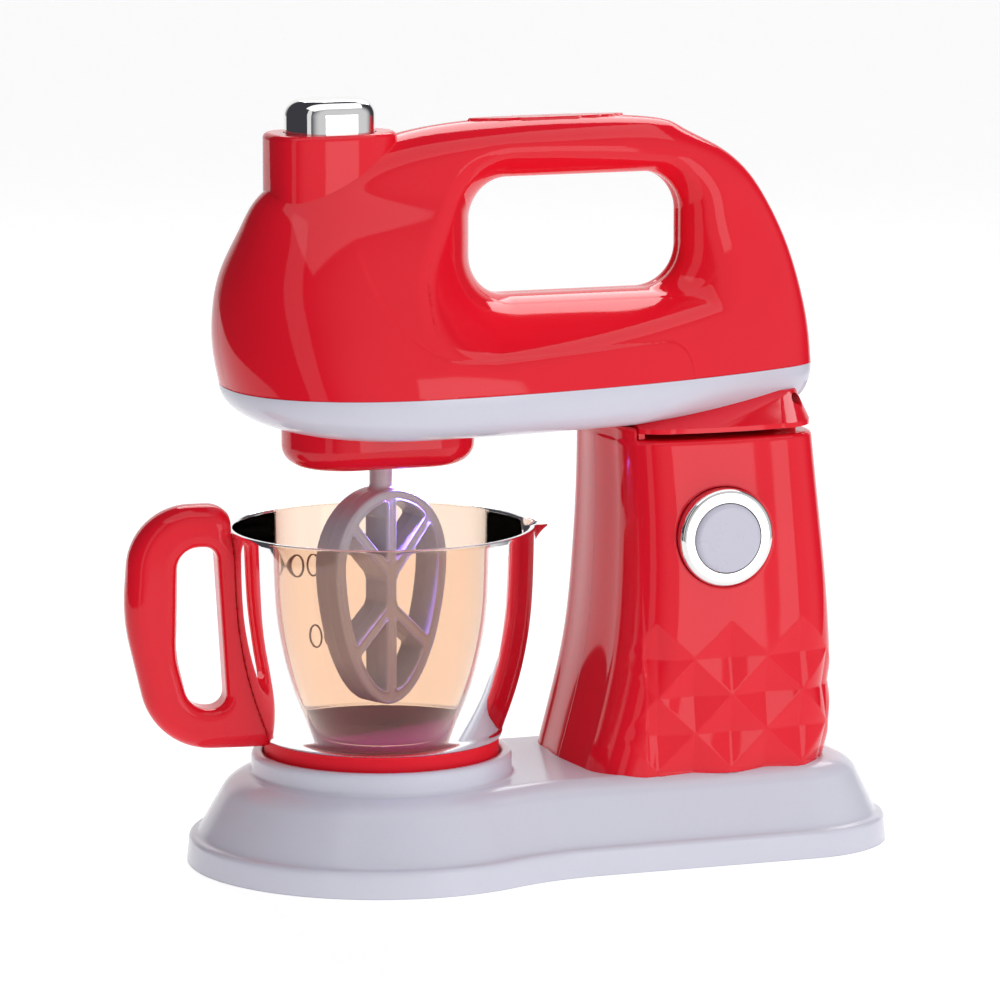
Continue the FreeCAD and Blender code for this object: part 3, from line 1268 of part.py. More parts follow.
PIECES = {
    "base_shell": base_shell,
    "base_plate": base_plate,
    "base_screws": base_screws,
    "battery_box": battery_box,
    "battery_door": battery_door,
    "battery_door_screw": lambda: screw_up(DOOR_SCREW_X, 0, SCREW_SEAT_Z, BASE_SCREW_L - 1),
    "batteries": batteries,
    "battery_contacts": battery_contacts,
    "column_shell_left": lambda: column_shell(-1),
    "column_shell_right": lambda: column_shell(1),
    "column_screws": column_screws,
    "column_split_screws": column_split_screws,
    "hinge_pin": hinge_pin,
    "button_ring": button_ring,
    "side_switch_board": side_switch_board,
    "side_button_cap": side_button_cap,
    "side_button_spring": side_button_spring,
    "head_shell_left": lambda: head_shell(-1),
    "head_shell_right": lambda: head_shell(1),
    "head_tray": head_tray,
    "neck_block": neck_block,
    "chin_cover": chin_cover,
    "button_turret": button_turret,
    "head_split_screws": head_split_screws,
    "head_floor_screws": head_floor_screws,
    "top_switch_board": top_switch_board,
    "top_button": top_button,
    "top_button_spring": top_button_spring,
    "led_board": led_board,
    "led_lamp": led_lamp,
    "led_lens": led_lens,
    "motor": motor,
    "motor_shaft": motor_shaft,
    "motor_pinion": motor_pinion,
    "reduction_gear": reduction_gear,
    "gear_axle": gear_axle,
    "gearbox_base": gearbox_base,
    "gearbox_cover": gearbox_cover,
    "gearbox_screws": gearbox_screws,
    "beater_gear": beater_gear,
    "beater_spindle": beater_spindle,
    "beater_paddle": beater_paddle,
    "bowl_body": bowl_body,
    "bowl_cup": bowl_cup,
    "bowl_handle": bowl_handle,
}


def main():
    os.makedirs("parts", exist_ok=True)
    for name, make in PIECES.items():
        shape = make()
        print(name, len(shape.Solids), round(shape.Volume), shape.isValid())
        save(name, shape)


main()
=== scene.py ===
"""Toy stand mixer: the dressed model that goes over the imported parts.

The sizes of the pieces are in millimetres and those of the stage in metres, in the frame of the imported
parts: X runs from the nose of the head to its tail, Z is up, and the push button on the column faces -Y.
"""
import json
import math

import bmesh
import bpy
import numpy as np
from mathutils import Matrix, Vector


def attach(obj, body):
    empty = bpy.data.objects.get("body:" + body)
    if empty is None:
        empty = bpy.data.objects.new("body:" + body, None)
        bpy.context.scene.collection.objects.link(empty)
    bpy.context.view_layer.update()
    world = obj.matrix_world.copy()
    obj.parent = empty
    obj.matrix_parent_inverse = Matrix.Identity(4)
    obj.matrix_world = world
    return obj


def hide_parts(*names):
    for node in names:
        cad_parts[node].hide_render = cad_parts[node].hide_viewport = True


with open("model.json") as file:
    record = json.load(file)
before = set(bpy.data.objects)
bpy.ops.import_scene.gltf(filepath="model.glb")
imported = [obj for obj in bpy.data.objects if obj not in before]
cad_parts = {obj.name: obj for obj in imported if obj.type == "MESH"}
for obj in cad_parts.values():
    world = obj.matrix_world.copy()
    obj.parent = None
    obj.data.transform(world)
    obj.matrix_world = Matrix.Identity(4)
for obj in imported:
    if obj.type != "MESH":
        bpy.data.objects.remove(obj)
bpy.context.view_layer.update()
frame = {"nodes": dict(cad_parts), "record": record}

bl_info = {
    "name": "Toy stand mixer",
    "version": (1, 0, 0),
    "blender": (4, 5, 0),
    "location": "3D View > Sidebar > Mixer",
    "description": "Builds the visible pieces, materials, lights and camera of a toy stand mixer",
    "category": "Add Mesh",
}

MM = 0.001

# Sizes and colours that a user would change


def length(name, description, default):
    """A length of the sidebar, given here in millimetres and kept in metres."""
    return bpy.props.FloatProperty(name=name, description=description, default=default * MM,
                                   subtype="DISTANCE", unit="LENGTH", precision=4)


def angle(name, description, default):
    """An angle of the sidebar, given here in degrees."""
    return bpy.props.FloatProperty(name=name, description=description, default=math.radians(default),
                                   subtype="ANGLE", unit="ROTATION")


def tint(name, description, default):
    """A linear colour of the sidebar."""
    return bpy.props.FloatVectorProperty(name=name, description=description, default=default, size=4,
                                         subtype="COLOR", min=0.0, max=1.0)


class MixerSizes(bpy.types.PropertyGroup):
    """Lengths and turns of the mixer's outer pieces"""

    bowl_x: length("Bowl axis", "Place of the bowl and beater axis along X", -50.0)
    bowl_wall: length("Bowl wall", "Thickness of the clear wall", 1.8)
    rim_height: length("Rim height", "Height of the bowl's rim", 104.3)
    spout_turn: angle("Spout turn", "Direction of the spout about the bowl axis", -10.0)
    handle_turn: angle("Handle turn", "Direction of the bowl's handle about the bowl axis", 172.0)
    column_top: length("Column top", "Height of the column's top face", 130.2)
    column_bulge: length("Column bulge", "How far the column's flat sides swell outwards", 1.2)
    diamond_wide: length("Diamond width", "Width of one sunken diamond", 24.0)
    diamond_tall: length("Diamond height", "Height of one sunken diamond", 23.2)
    diamond_depth: length("Diamond depth", "Depth of a diamond at its middle", 1.9)
    button_x: length("Button X", "Place of the push button along X", 50.4)
    button_z: length("Button height", "Height of the push button's middle", 100.2)
    hinge_x: length("Hinge X", "Place of the hinge pin along X", 81.0)
    hinge_z: length("Hinge height", "Height of the hinge pin", 139.0)
    foot_nose: length("Foot nose", "Radius of the foot round the bowl axis", 60.5)
    foot_half: length("Foot half width", "Half width of the foot under the column", 49.3)
    foot_back: length("Foot back", "Place of the foot's back edge along X", 111.0)
    foot_corner: length("Foot corner", "Radius of the foot's back corners", 35.0)
    foot_waist: length("Foot waist", "Radius of the hollow between nose and back", 80.0)
    beater_half: length("Beater half width", "Half width of the beater", 22.7)
    beater_wide: length("Beater widest", "Height at which the beater is widest", 93.0)
    beater_top: length("Beater top", "Height of the top of the beater's rim", 116.0)
    beater_bottom: length("Beater bottom", "Height of the bottom of the beater's rim", 48.6)
    beater_rim: length("Beater rim", "Width of the beater's rim", 4.2)
    beater_bar: length("Beater bar", "Width of the beater's bars", 4.0)
    beater_turn: angle("Beater turn", "Turn of the beater about its shaft at rest", 23.0)


class MixerColours(bpy.types.PropertyGroup):
    """Colours of the mixer's plastics"""

    coral: tint("Coral", "Head, column, cup and handle", (0.93, 0.012, 0.030, 1.0))
    pale: tint("Pale", "Base, tray and lens ring", (0.74, 0.74, 0.84, 1.0))
    cap: tint("Button cap", "Cap of the push button", (0.66, 0.65, 0.76, 1.0))
    beater: tint("Beater", "Beater and its shaft", (0.62, 0.60, 0.68, 1.0))
    # The cup's top is coral darkened as painted shade, for the shadow that lies on it inside the bowl
    cup_floor_painted_shade: tint("Cup floor", "Shaded top of the cup, seen through the bowl", (0.26, 0.02, 0.045, 1.0))
    glass: tint("Bowl", "Clear tinted wall of the bowl", (0.94, 0.75, 0.61, 1.0))


class Lengths:
    """The sidebar's lengths in millimetres and its angles in radians."""

    def __getattr__(self, name):
        value = getattr(bpy.context.scene.mixer_sizes, name)
        return value if name.endswith("_turn") else value / MM


mixer = Lengths()

# Shader building


class Value:
    """A shader socket that takes part in Python arithmetic."""

    def __init__(self, shader, socket):
        self.shader = shader
        self.socket = socket

    def calc(self, operation, *others):
        return self.shader.node("ShaderNodeMath", {"operation": operation}, [self, *others])

    def __add__(self, other):
        return self.calc("ADD", other)

    def __sub__(self, other):
        return self.calc("SUBTRACT", other)

    def __rsub__(self, other):
        return self.shader.node("ShaderNodeMath", {"operation": "SUBTRACT"}, [other, self])

    def __mul__(self, other):
        return self.calc("MULTIPLY", other)

    def step(self, low, high):
        """0 below low, 1 above high, smooth between them."""
        settings = {"interpolation_type": "SMOOTHSTEP"}
        return self.shader.node("ShaderNodeMapRange", settings, [self, low, high, 0.0, 1.0])

    __radd__ = __add__
    __rmul__ = __mul__


class Shader:
    """The node tree of one material, or of the world."""

    def __init__(self, tree):
        self.tree = tree
        tree.nodes.clear()

    def node(self, kind, settings=None, inputs=(), output=0):
        """Add a node, set its options, fill its inputs in order or by name, and return one output."""
        node = self.tree.nodes.new(kind)
        for key, value in (settings or {}).items():
            setattr(node, key, value)
        pairs = inputs.items() if isinstance(inputs, dict) else enumerate(inputs)
        for key, value in pairs:
            if isinstance(value, Value):
                self.tree.links.new(value.socket, node.inputs[key])
            elif value is not None:
                node.inputs[key].default_value = value
        return Value(self, node.outputs[output]) if len(node.outputs) else None

    def place(self):
        """The point of the surface in the object's own space, in metres."""
        return self.node("ShaderNodeTexCoord", output="Object")

    def noise(self, where, size_mm, detail=2.0):
        """Even noise from 0 to 1 with blobs of about this size."""
        inputs = {"Vector": where, "Scale": 1 / (size_mm * MM), "Detail": detail}
        return self.node("ShaderNodeTexNoise", None, inputs)

    def blend(self, amount, low, high):
        """A colour between two others."""
        return self.node("ShaderNodeMix", {"data_type": "RGBA"}, {0: amount, 6: low, 7: high}, output=2)


def rgb(red, green, blue):
    """Linear colour of a display colour given as 0 to 255."""
    out = []
    for level in (red, green, blue):
        share = level / 255
        out.append(share / 12.92 if share <= 0.04045 else ((share + 0.055) / 1.055) ** 2.4)
    return (*out, 1.0)


# Sizes of the blobs in a finish: broad and fine unevenness, dots and waves
BROAD_GRAIN = 18.0
FINE_GRAIN = 0.9
DOT_GRAIN = 0.55
WAVE_GRAIN = 9.0
SCRATCH_GRAIN = 1.2

# The finishes made here, by name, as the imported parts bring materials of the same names
FINISHES = {}


def material(name, colour, rough, metal=0.0, fleck=0.03, waviness=0.0, speckle=0.0, **constants):
    """A plastic or metal finish with slight unevenness in its colour, roughness and surface."""
    made = bpy.data.materials.new(name)
    FINISHES[name] = made
    made.use_nodes = True
    shader = Shader(made.node_tree)
    where = shader.place()
    broad = shader.noise(where, BROAD_GRAIN)
    fine = shader.noise(where, FINE_GRAIN, 3.0)
    dark = tuple(level * (1 - fleck) for level in colour[:3]) + (1.0,)
    uneven = shader.blend(broad, dark, colour)
    rough_value = rough + (broad - 0.5) * (rough * 0.25) + (fine - 0.5) * 0.02
    inputs = {"Base Color": uneven, "Roughness": rough_value, "Metallic": metal}
    if speckle:
        dots = shader.noise(where, DOT_GRAIN, 0.0).step(0.76, 0.80)
        inputs["Base Color"] = shader.blend(dots * speckle, uneven, dark_of(colour))
    if waviness:
        height = shader.noise(where, WAVE_GRAIN, 1.0) * waviness + fine * (waviness * 0.03)
        bump = {"Strength": 1.0, "Distance": MM, "Height": height}
        inputs["Normal"] = shader.node("ShaderNodeBump", None, bump)
    inputs.update({key.replace("_", " "): value for key, value in constants.items()})
    surface = shader.node("ShaderNodeBsdfPrincipled", None, inputs)
    shader.node("ShaderNodeOutputMaterial", None, {"Surface": surface})


def dark_of(colour):
    """The colour at about a third of its light."""
    return tuple(level * 0.35 for level in colour[:3]) + (1.0,)


# Mesh building


def finish(name, verts, faces, finish_name, body, slot=None):
    """Make one piece from points in millimetres, give it its material and put it in the frame."""
    mesh = bpy.data.meshes.new(name)
    mesh.from_pydata((np.asarray(verts, dtype=float) * MM).tolist(), [], [list(face) for face in faces])
    mesh.validate()
    mesh.update()
    settle(name, mesh, finish_name, body, slot=slot)


def settle(name, mesh, finish_name, body, *nodes, slot=None):
    """Put a finished mesh in the scene as one piece of the mixer."""
    piece = bpy.data.objects.new(name, mesh)
    bpy.context.scene.collection.objects.link(piece)
    mesh.materials.append(FINISHES[finish_name])
    mesh.polygons.foreach_set("use_smooth", [True] * len(mesh.polygons))
    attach(piece, body)
    if nodes:
        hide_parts(*nodes)


def skin(field, low, high, step):
    """Points and quads of the surface where field is zero, with field in millimetres and negative inside."""
    axes = [np.arange(a, b + step, step) for a, b in zip(low, high)]
    grid = np.meshgrid(*axes, indexing="ij", sparse=True)
    value = field(*grid)
    cells = [n - 1 for n in value.shape]
    total = np.zeros((cells[0] * cells[1] * cells[2], 3))
    count = np.zeros(len(total))
    quads = []
    for axis in range(3):
        start = [slice(None)] * 3
        end = [slice(None)] * 3
        start[axis] = slice(0, -1)
        end[axis] = slice(1, None)
        a = value[tuple(start)]
        b = value[tuple(end)]
        spots = np.array(np.nonzero((a < 0) != (b < 0))).T
        first = a[tuple(spots.T)]
        share = first / (first - b[tuple(spots.T)])
        points = np.stack([axes[k][spots[:, k]] for k in range(3)], axis=1)
        points[:, axis] += share * step
        one, two = [k for k in range(3) if k != axis]
        ring = []
        for shift_one, shift_two in ((0, 0), (-1, 0), (-1, -1), (0, -1)):
            cell = spots.copy()
            cell[:, one] += shift_one
            cell[:, two] += shift_two
            flat = (cell[:, 0] * cells[1] + cell[:, 1]) * cells[2] + cell[:, 2]
            np.add.at(total, flat, points)
            np.add.at(count, flat, 1)
            ring.append(flat)
        ring = np.stack(ring, axis=1)
        flip = (first < 0) != (axis == 1)
        ring[flip] = ring[flip][:, ::-1]
        quads.append(ring)
    used = np.nonzero(count)[0]
    verts = total[used] / count[used][:, None]
    index = np.full(len(count), -1)
    index[used] = np.arange(len(used))
    for _ in range(3):
        verts = pull(field, verts, step * 0.5)
    return verts, index[np.concatenate(quads)]


def pull(field, verts, most):
    """Move points onto the surface of a field."""
    value = field(*verts.T)
    steps = np.eye(3) * 0.05
    slope = np.stack([(field(*(verts + d).T) - field(*(verts - d).T)) / 0.1 for d in steps], axis=1)
    size = np.maximum((slope ** 2).sum(axis=1), 1e-3)
    move = -(value / size)[:, None] * slope
    length = np.linalg.norm(move, axis=1, keepdims=True)
    return verts + move * np.minimum(1.0, most / np.maximum(length, 1e-9))


def even(field):
    """The same field scaled to read in millimetres near its surface."""
    def scaled(x, y, z):
        d = 0.25
        slope = ((field(x + d, y, z) - field(x - d, y, z)) ** 2
                 + (field(x, y + d, z) - field(x, y - d, z)) ** 2
                 + (field(x, y, z + d) - field(x, y, z - d)) ** 2)
        return field(x, y, z) / np.maximum(np.sqrt(slope) / (2 * d), 1e-4)
    return scaled


def meet(a, b, r):
    """Both fields at once, with the edge between them rounded by r."""
    return np.minimum(-r, np.maximum(a, b)) + np.hypot(np.maximum(a + r, 0), np.maximum(b + r, 0))


def join(a, b, r):
    """Either field, with a hollow fillet of r between them."""
    return -meet(-a, -b, r)


def spline(knots, values, where):
    """Natural cubic through the knots, straight beyond them."""
    knots = np.asarray(knots, dtype=float)
    values = np.asarray(values, dtype=float)
    n = len(knots)
    gap = np.diff(knots)
    matrix = np.zeros((n, n))
    side = np.zeros(n)
    matrix[0, 0] = matrix[-1, -1] = 1.0
    for i in range(1, n - 1):
        matrix[i, i - 1:i + 2] = gap[i - 1], 2 * (gap[i - 1] + gap[i]), gap[i]
        side[i] = 6 * ((values[i + 1] - values[i]) / gap[i] - (values[i] - values[i - 1]) / gap[i - 1])
    bend = np.linalg.solve(matrix, side)
    i = np.clip(np.searchsorted(knots, where) - 1, 0, n - 2)
    h = gap[i]
    inside = np.clip(where, knots[0], knots[-1])
    a = (knots[i + 1] - inside) / h
    b = 1 - a
    sag = (a ** 3 - a) * bend[i] + (b ** 3 - b) * bend[i + 1]
    curve = a * values[i] + b * values[i + 1] + sag * h * h / 6
    first = (values[1] - values[0]) / gap[0] - bend[1] * gap[0] / 6
    last = (values[-1] - values[-2]) / gap[-1] + bend[-2] * gap[-1] / 6
    return curve + np.minimum(where - knots[0], 0) * first + np.maximum(where - knots[-1], 0) * last


def lathe(profile, centre=(0.0, 0.0), count=128):
    """Ring of a closed profile of (radius, height) about an upright axis."""
    profile = np.asarray(profile, dtype=float)
    turn = np.arange(count) * 2 * math.pi / count
    n = len(profile)
    x = profile[:, 0][None, :] * np.cos(turn)[:, None]
    y = profile[:, 0][None, :] * np.sin(turn)[:, None]
    z = np.broadcast_to(profile[:, 1][None, :], x.shape)
    verts = np.stack([x, y, z], axis=2).reshape(-1, 3)
    verts = verts + np.array([centre[0], centre[1], 0.0])
    faces = []
    for i in range(count):
        for j in range(n):
            a = i * n + j
            b = i * n + (j + 1) % n
            c = ((i + 1) % count) * n + (j + 1) % n
            d = ((i + 1) % count) * n + j
            faces.append((a, d, c, b))
    return verts, faces


def cut_flat(mesh, spot, normal):
    """Cut a mesh by a plane, drop what lies in front of the normal, and close the cut."""
    work = bmesh.new()
    work.from_mesh(mesh)
    cut = bmesh.ops.bisect_plane(work, geom=work.verts[:] + work.edges[:] + work.faces[:], dist=1e-7,
                                 plane_co=Vector(spot) * MM, plane_no=normal, clear_outer=True)
    rim = [item for item in cut["geom_cut"] if isinstance(item, bmesh.types.BMEdge)]
    bmesh.ops.triangle_fill(work, use_beauty=True, edges=rim, normal=Vector(normal))
    work.to_mesh(mesh)
    work.free()


def to_mesh(name, verts, faces):
    mesh = bpy.data.meshes.new(name)
    mesh.from_pydata((np.asarray(verts) * MM).tolist(), [], np.asarray(faces).tolist())
    mesh.update()
    return mesh

# Finishes


def clear_plastic(name, colour, rough):
    """Clear tinted plastic with a few fine scratches."""
    made = bpy.data.materials.new(name)
    FINISHES[name] = made
    made.use_nodes = True
    shader = Shader(made.node_tree)
    where = shader.place()
    fine = shader.noise(where, SCRATCH_GRAIN, 3.0)
    surface = shader.node("ShaderNodeBsdfPrincipled", None, {
        "Base Color": colour, "Roughness": rough + fine * 0.03, "Transmission Weight": 1.0, "IOR": 1.40})
    shader.node("ShaderNodeOutputMaterial", None, {"Surface": surface})


def make_finishes():
    colours = bpy.context.scene.mixer_colours
    coral = tuple(colours.coral)
    pale = tuple(colours.pale)
    material("coral_plastic", coral, 0.06, fleck=0.05, waviness=0.012, speckle=0.12, IOR=1.40)
    material("coral_matte", coral, 0.5, IOR=1.25)
    # A darkened copy of the coral for the cup's top: painted shade
    material("red_floor", tuple(colours.cup_floor_painted_shade), 0.5, IOR=1.02)
    # Darker opaque amber for the raised noughts: painted shade for the dark edges that clear raised marks
    # show
    material("amber_line", (0.36, 0.29, 0.26, 1.0), 0.5, IOR=1.2)
    material("pale_plastic", pale, 0.16, waviness=0.015, speckle=0.08, IOR=1.45)
    material("cap_plastic", tuple(colours.cap), 0.28, waviness=0.02)
    material("beater_plastic", tuple(colours.beater), 0.24, waviness=0.02)
    material("inner_plastic", rgb(200, 200, 205), 0.45)
    material("black_plastic", rgb(28, 28, 30), 0.4)
    material("gear_plastic", rgb(236, 232, 220), 0.4)
    material("chrome_trim", rgb(238, 238, 236), 0.05, metal=1.0, fleck=0.02)
    material("screw_steel", rgb(150, 150, 155), 0.35, metal=1.0)
    material("steel", rgb(190, 190, 195), 0.25, metal=1.0)
    material("spring_steel", rgb(170, 172, 178), 0.3, metal=1.0)
    material("board", rgb(30, 105, 60), 0.5)
    material("cell_wrap", rgb(50, 60, 75), 0.35)
    material("contact_metal", rgb(205, 200, 180), 0.3, metal=1.0)
    clear_plastic("amber_clear", tuple(colours.glass), 0.01)
    clear_plastic("lamp_clear", (0.75, 0.70, 1.0, 1.0), 0.1)


def dress_nodes():
    """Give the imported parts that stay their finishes."""
    slots = {row["node"]: row["material_slot"] for row in frame["record"]["subparts"]}
    for node, thing in frame["nodes"].items():
        finish_name = "coral_matte" if node == "bowl_cup" else slots[node]
        thing.data.materials.clear()
        thing.data.materials.append(FINISHES[finish_name])


# Stage


def aim(thing, target):
    thing.rotation_euler = (Vector(target) - thing.location).to_track_quat("-Z", "Y").to_euler()


def light(name, kind, place, target, **settings):
    """A lamp that points at a target, with places in metres."""
    data = bpy.data.lights.new(name, kind)
    for key, value in settings.items():
        setattr(data, key, value)
    lamp = bpy.data.objects.new(name, data)
    lamp.location = place
    aim(lamp, target)
    bpy.context.scene.collection.objects.link(lamp)


# Name, compass turn from +X in degrees, distance in metres, lowest and highest rise and width in degrees,
# and brightness
SOFTBOXES = [
    ("front_left", 222.0, 1.5, -24.0, 62.0, 14.0, 0.8),
    ("front_right", 292.0, 1.5, -24.0, 15.0, 24.0, 1.6),
    ("rear_top", 60.0, 1.4, 33.0, 57.0, 44.0, 3.8),
    ("overhead", 290.0, 1.4, 58.0, 96.0, 70.0, 1.2),
]
SOFTBOX_TARGET = (0, 0, 0.1)

# The camera's target and distance in metres, its turn from square-on and its rise in degrees
VIEW_TARGET = (-0.010976, 0.0, 0.10992)
VIEW_DISTANCE = 1.860
VIEW_TURN = math.radians(-20.0)
VIEW_RISE = math.radians(9.3)

# The floor in front of the mixer is a half disc, and behind it runs out to two far corners, in metres
FLOOR_RADIUS = 0.55
FLOOR_FAR = [(4.0, 9.0, 0), (-2.0, 9.0, 0)]

# The side of the room that is lit, its light, and the light of the rest
OPEN_SIDE = (0.5, -0.87, 0.0)
OPEN_LIGHT = (0.70, 0.70, 0.72, 1)
DIM_LIGHT = (0.05, 0.05, 0.06, 1)
WHITE = (1, 1, 1, 1)

# The lamp in the chin, in metres
LAMP_PLACE = (-0.038, 0.0, 0.1215)
LAMP_TARGET = (-0.052, 0.0, 0.085)


def make_camera(back):
    """Camera that looks at the mixer from the direction back."""
    lens = bpy.data.cameras.new("camera")
    lens.lens = 216.0
    lens.sensor_width = 36.0
    lens.clip_end = 20.0
    camera = bpy.data.objects.new("camera", lens)
    camera.location = Vector(VIEW_TARGET) + back * VIEW_DISTANCE
    aim(camera, VIEW_TARGET)
    bpy.context.scene.collection.objects.link(camera)
    bpy.context.scene.camera = camera


def make_world(back):
    """Room that is white behind the mixer, lit on its open side and dim elsewhere."""
    world = bpy.data.worlds.new("studio")
    world.use_nodes = True
    shader = Shader(world.node_tree)
    place = shader.node("ShaderNodeTexCoord", output="Generated")

    def towards(direction):
        return shader.node("ShaderNodeVectorMath", {"operation": "DOT_PRODUCT"}, [place, direction],
                           output="Value")
    bright = towards((-back.x, -back.y, 0.0)).step(0.72, 0.86)
    room = shader.blend(towards(OPEN_SIDE).step(0.30, 0.80), DIM_LIGHT, OPEN_LIGHT)
    around = shader.blend(bright, room, WHITE)
    seen = shader.node("ShaderNodeLightPath", output="Is Camera Ray")
    colour = shader.blend(seen, around, WHITE)
    glow = shader.node("ShaderNodeBackground", None, {"Color": colour, "Strength": 1.0})
    shader.node("ShaderNodeOutputWorld", None, {"Surface": glow})
    bpy.context.scene.world = world


def make_floor():
    """White floor that glows a little, so that it stays white far from the lights."""
    turns = np.linspace(math.pi, 2 * math.pi, 48)
    verts = [(FLOOR_RADIUS * math.cos(turn), FLOOR_RADIUS * math.sin(turn), 0) for turn in turns]
    verts += FLOOR_FAR
    mesh = bpy.data.meshes.new("floor")
    mesh.from_pydata(verts, [], [tuple(range(len(verts)))])
    floor = bpy.data.objects.new("floor", mesh)
    bpy.context.scene.collection.objects.link(floor)
    material("floor_white", (0.35, 0.35, 0.36, 1.0), 0.6, fleck=0.005,
             Emission_Color=(1.0, 1.0, 1.0, 1.0), Emission_Strength=0.80)
    mesh.materials.append(FINISHES["floor_white"])


def make_lights():
    """Softboxes round the mixer and the violet lamp in its chin."""
    for name, turn, distance, low, high, width, brightness in SOFTBOXES:
        around = math.radians(turn)
        reach = distance * math.cos(math.radians((low + high) / 2))
        rise_low, rise_high = [distance * math.sin(math.radians(level)) for level in (low, high)]
        height = SOFTBOX_TARGET[2] + (rise_low + rise_high) / 2
        place = (reach * math.cos(around), reach * math.sin(around), height)
        tall = 2 * distance * math.tan(math.radians((high - low) / 2))
        wide = 2 * distance * math.tan(math.radians(width / 2))
        light(name, "AREA", place, SOFTBOX_TARGET, shape="RECTANGLE", size=wide, size_y=tall,
              energy=brightness * math.pi * wide * tall)
    light("violet_lamp", "SPOT", LAMP_PLACE, LAMP_TARGET, energy=1.1, shadow_soft_size=0.003,
          spot_size=math.radians(75), spot_blend=0.6, color=(0.22, 0.16, 1.0))


def make_stage():
    bpy.context.scene.view_settings.view_transform = "Standard"
    back = Vector((math.sin(VIEW_TURN) * math.cos(VIEW_RISE), -math.cos(VIEW_TURN) * math.cos(VIEW_RISE),
                   math.sin(VIEW_RISE)))
    make_camera(back)
    make_world(back)
    make_floor()
    make_lights()


# Head

# Height, half width, nose and rear along X, widest place along X, and the curve's power at nose and rear
HEAD_SECTIONS = [
    (149.0, 44.0, -99.3, 92.0, -45.0, 2.3, 1.6),
    (160.0, 41.8, -101.6, 91.0, -45.0, 2.3, 1.5),
    (172.0, 37.4, -102.0, 88.6, -45.0, 2.3, 1.4),
    (185.0, 31.6, -99.6, 84.6, -45.0, 2.3, 1.35),
    (198.0, 25.0, -93.6, 78.6, -42.0, 2.3, 1.5),
    (209.0, 18.4, -86.2, 71.4, -38.0, 2.2, 2.0),
    (218.0, 15.6, -68.5, 60.5, -26.0, 2.2, 2.2),
    (224.5, 11.4, -47.0, 48.0, -8.0, 2.2, 2.2),
    (228.4, 4.0, -20.0, 28.0, 4.0, 2.0, 2.0),
    (229.1, 0.0, 4.0, 4.0, 4.0, 2.0, 2.0),
]
# Distance from the middle plane, front, back, bottom and top of the opening there, and its corner radius
OPENING_SECTIONS = [
    (0.0, -23.0, 48.0, 174.6, 211.0, 13.0),
    (4.0, -23.0, 48.0, 174.6, 211.0, 13.0),
    (10.0, -25.2, 55.0, 173.3, 214.3, 15.0),
    (16.0, -29.2, 68.0, 171.0, 220.5, 18.0),
    (24.0, -37.0, 88.0, 167.3, 231.0, 22.0),
    (46.0, -62.0, 150.0, 157.0, 268.0, 34.0),
]
# Edge of the sunken panel in X and Z, its depth, and how far it fades out
PANEL_DEPTH = 0.5
PANEL_FADE = 14.0
PANEL_LINE = [(-66.6, 197.0), (-65.4, 189.0), (-61.8, 178.0), (-56.2, 169.0), (-49.5, 163.2), (-43.0, 160.2),
              (-36.0, 159.0), (-2.0, 160.0), (33.0, 161.0), (37.4, 160.0), (40.6, 157.2), (42.0, 153.6),
              (42.2, 147.0)]


# The halves stop this far from the middle plane, and the head stops just above the tray
HALF_GAP = 0.05
HEAD_BOTTOM = 149.05


def egg(x, y, z):
    """Head form without its opening, as a power curve around each level."""
    table = np.array(HEAD_SECTIONS)
    level = table[:, 0]
    widest = spline(level, table[:, 4], z)
    half = np.sqrt(np.maximum(spline(level, table[:, 1] ** 2, z), 1e-3))
    nose = np.sqrt(np.maximum(spline(level, (table[:, 4] - table[:, 2]) ** 2, z), 1e-2))
    rear = np.sqrt(np.maximum(spline(level, (table[:, 3] - table[:, 4]) ** 2, z), 1e-2))
    side = np.abs(y) / half
    front = np.maximum(widest - x, 0) / nose
    back = np.maximum(x - widest, 0) / rear
    nose_power = np.maximum(spline(level, table[:, 5], z), 1.3)
    rear_power = np.maximum(spline(level, table[:, 6], z), 1.3)
    blunt = rear_power + (2 - rear_power) * np.minimum(back, 1) ** (8 * rear_power)
    behind = x > widest
    power = np.where(behind, blunt, nose_power)
    along = np.where(behind, back, front)
    return along ** power + side ** power - 1


def rounded_box(u, v, u0, u1, v0, v1, corner):
    """Distance from a rounded rectangle of the plane."""
    du = np.abs(u - (u0 + u1) / 2) - (u1 - u0) / 2 + corner
    dv = np.abs(v - (v0 + v1) / 2) - (v1 - v0) / 2 + corner
    return np.hypot(np.maximum(du, 0), np.maximum(dv, 0)) + np.minimum(np.maximum(du, dv), 0) - corner


def opening(x, y, z):
    """Flared hand opening, negative in the air of it."""
    table = np.array(OPENING_SECTIONS)
    away = np.abs(y)
    edge = [spline(table[:, 0], table[:, k], away) for k in range(1, 6)]
    return rounded_box(x, z, edge[0], edge[1], edge[2], edge[3], edge[4])


def head_form(x, y, z):
    """Head with its hand opening."""
    return meet(even(egg)(x, y, z), -even(opening)(x, y, z), 3.0)


def line_side(u, v, line):
    """Signed distance from an open line of the plane, positive to the left of its run."""
    best = np.full(u.shape, 1e9)
    sign = np.ones(u.shape)
    for (u0, v0), (u1, v1) in zip(line, line[1:]):
        du, dv = u1 - u0, v1 - v0
        share = np.clip(((u - u0) * du + (v - v0) * dv) / (du * du + dv * dv), 0, 1)
        gap = np.hypot(u - u0 - share * du, v - v0 - share * dv)
        left = np.sign(du * (v - v0) - dv * (u - u0))
        nearer = gap < best - 1e-9
        best = np.where(nearer, gap, best)
        sign = np.where(nearer, left, sign)
    return best * sign


def smooth_line(line, rounds=2):
    """The line with its corners cut, to run smoothly."""
    for _ in range(rounds):
        out = [line[0]]
        for a, b in zip(line, line[1:]):
            out.append((a[0] * 0.75 + b[0] * 0.25, a[1] * 0.75 + b[1] * 0.25))
            out.append((a[0] * 0.25 + b[0] * 0.75, a[1] * 0.25 + b[1] * 0.75))
        line = out + [line[-1]]
    return line


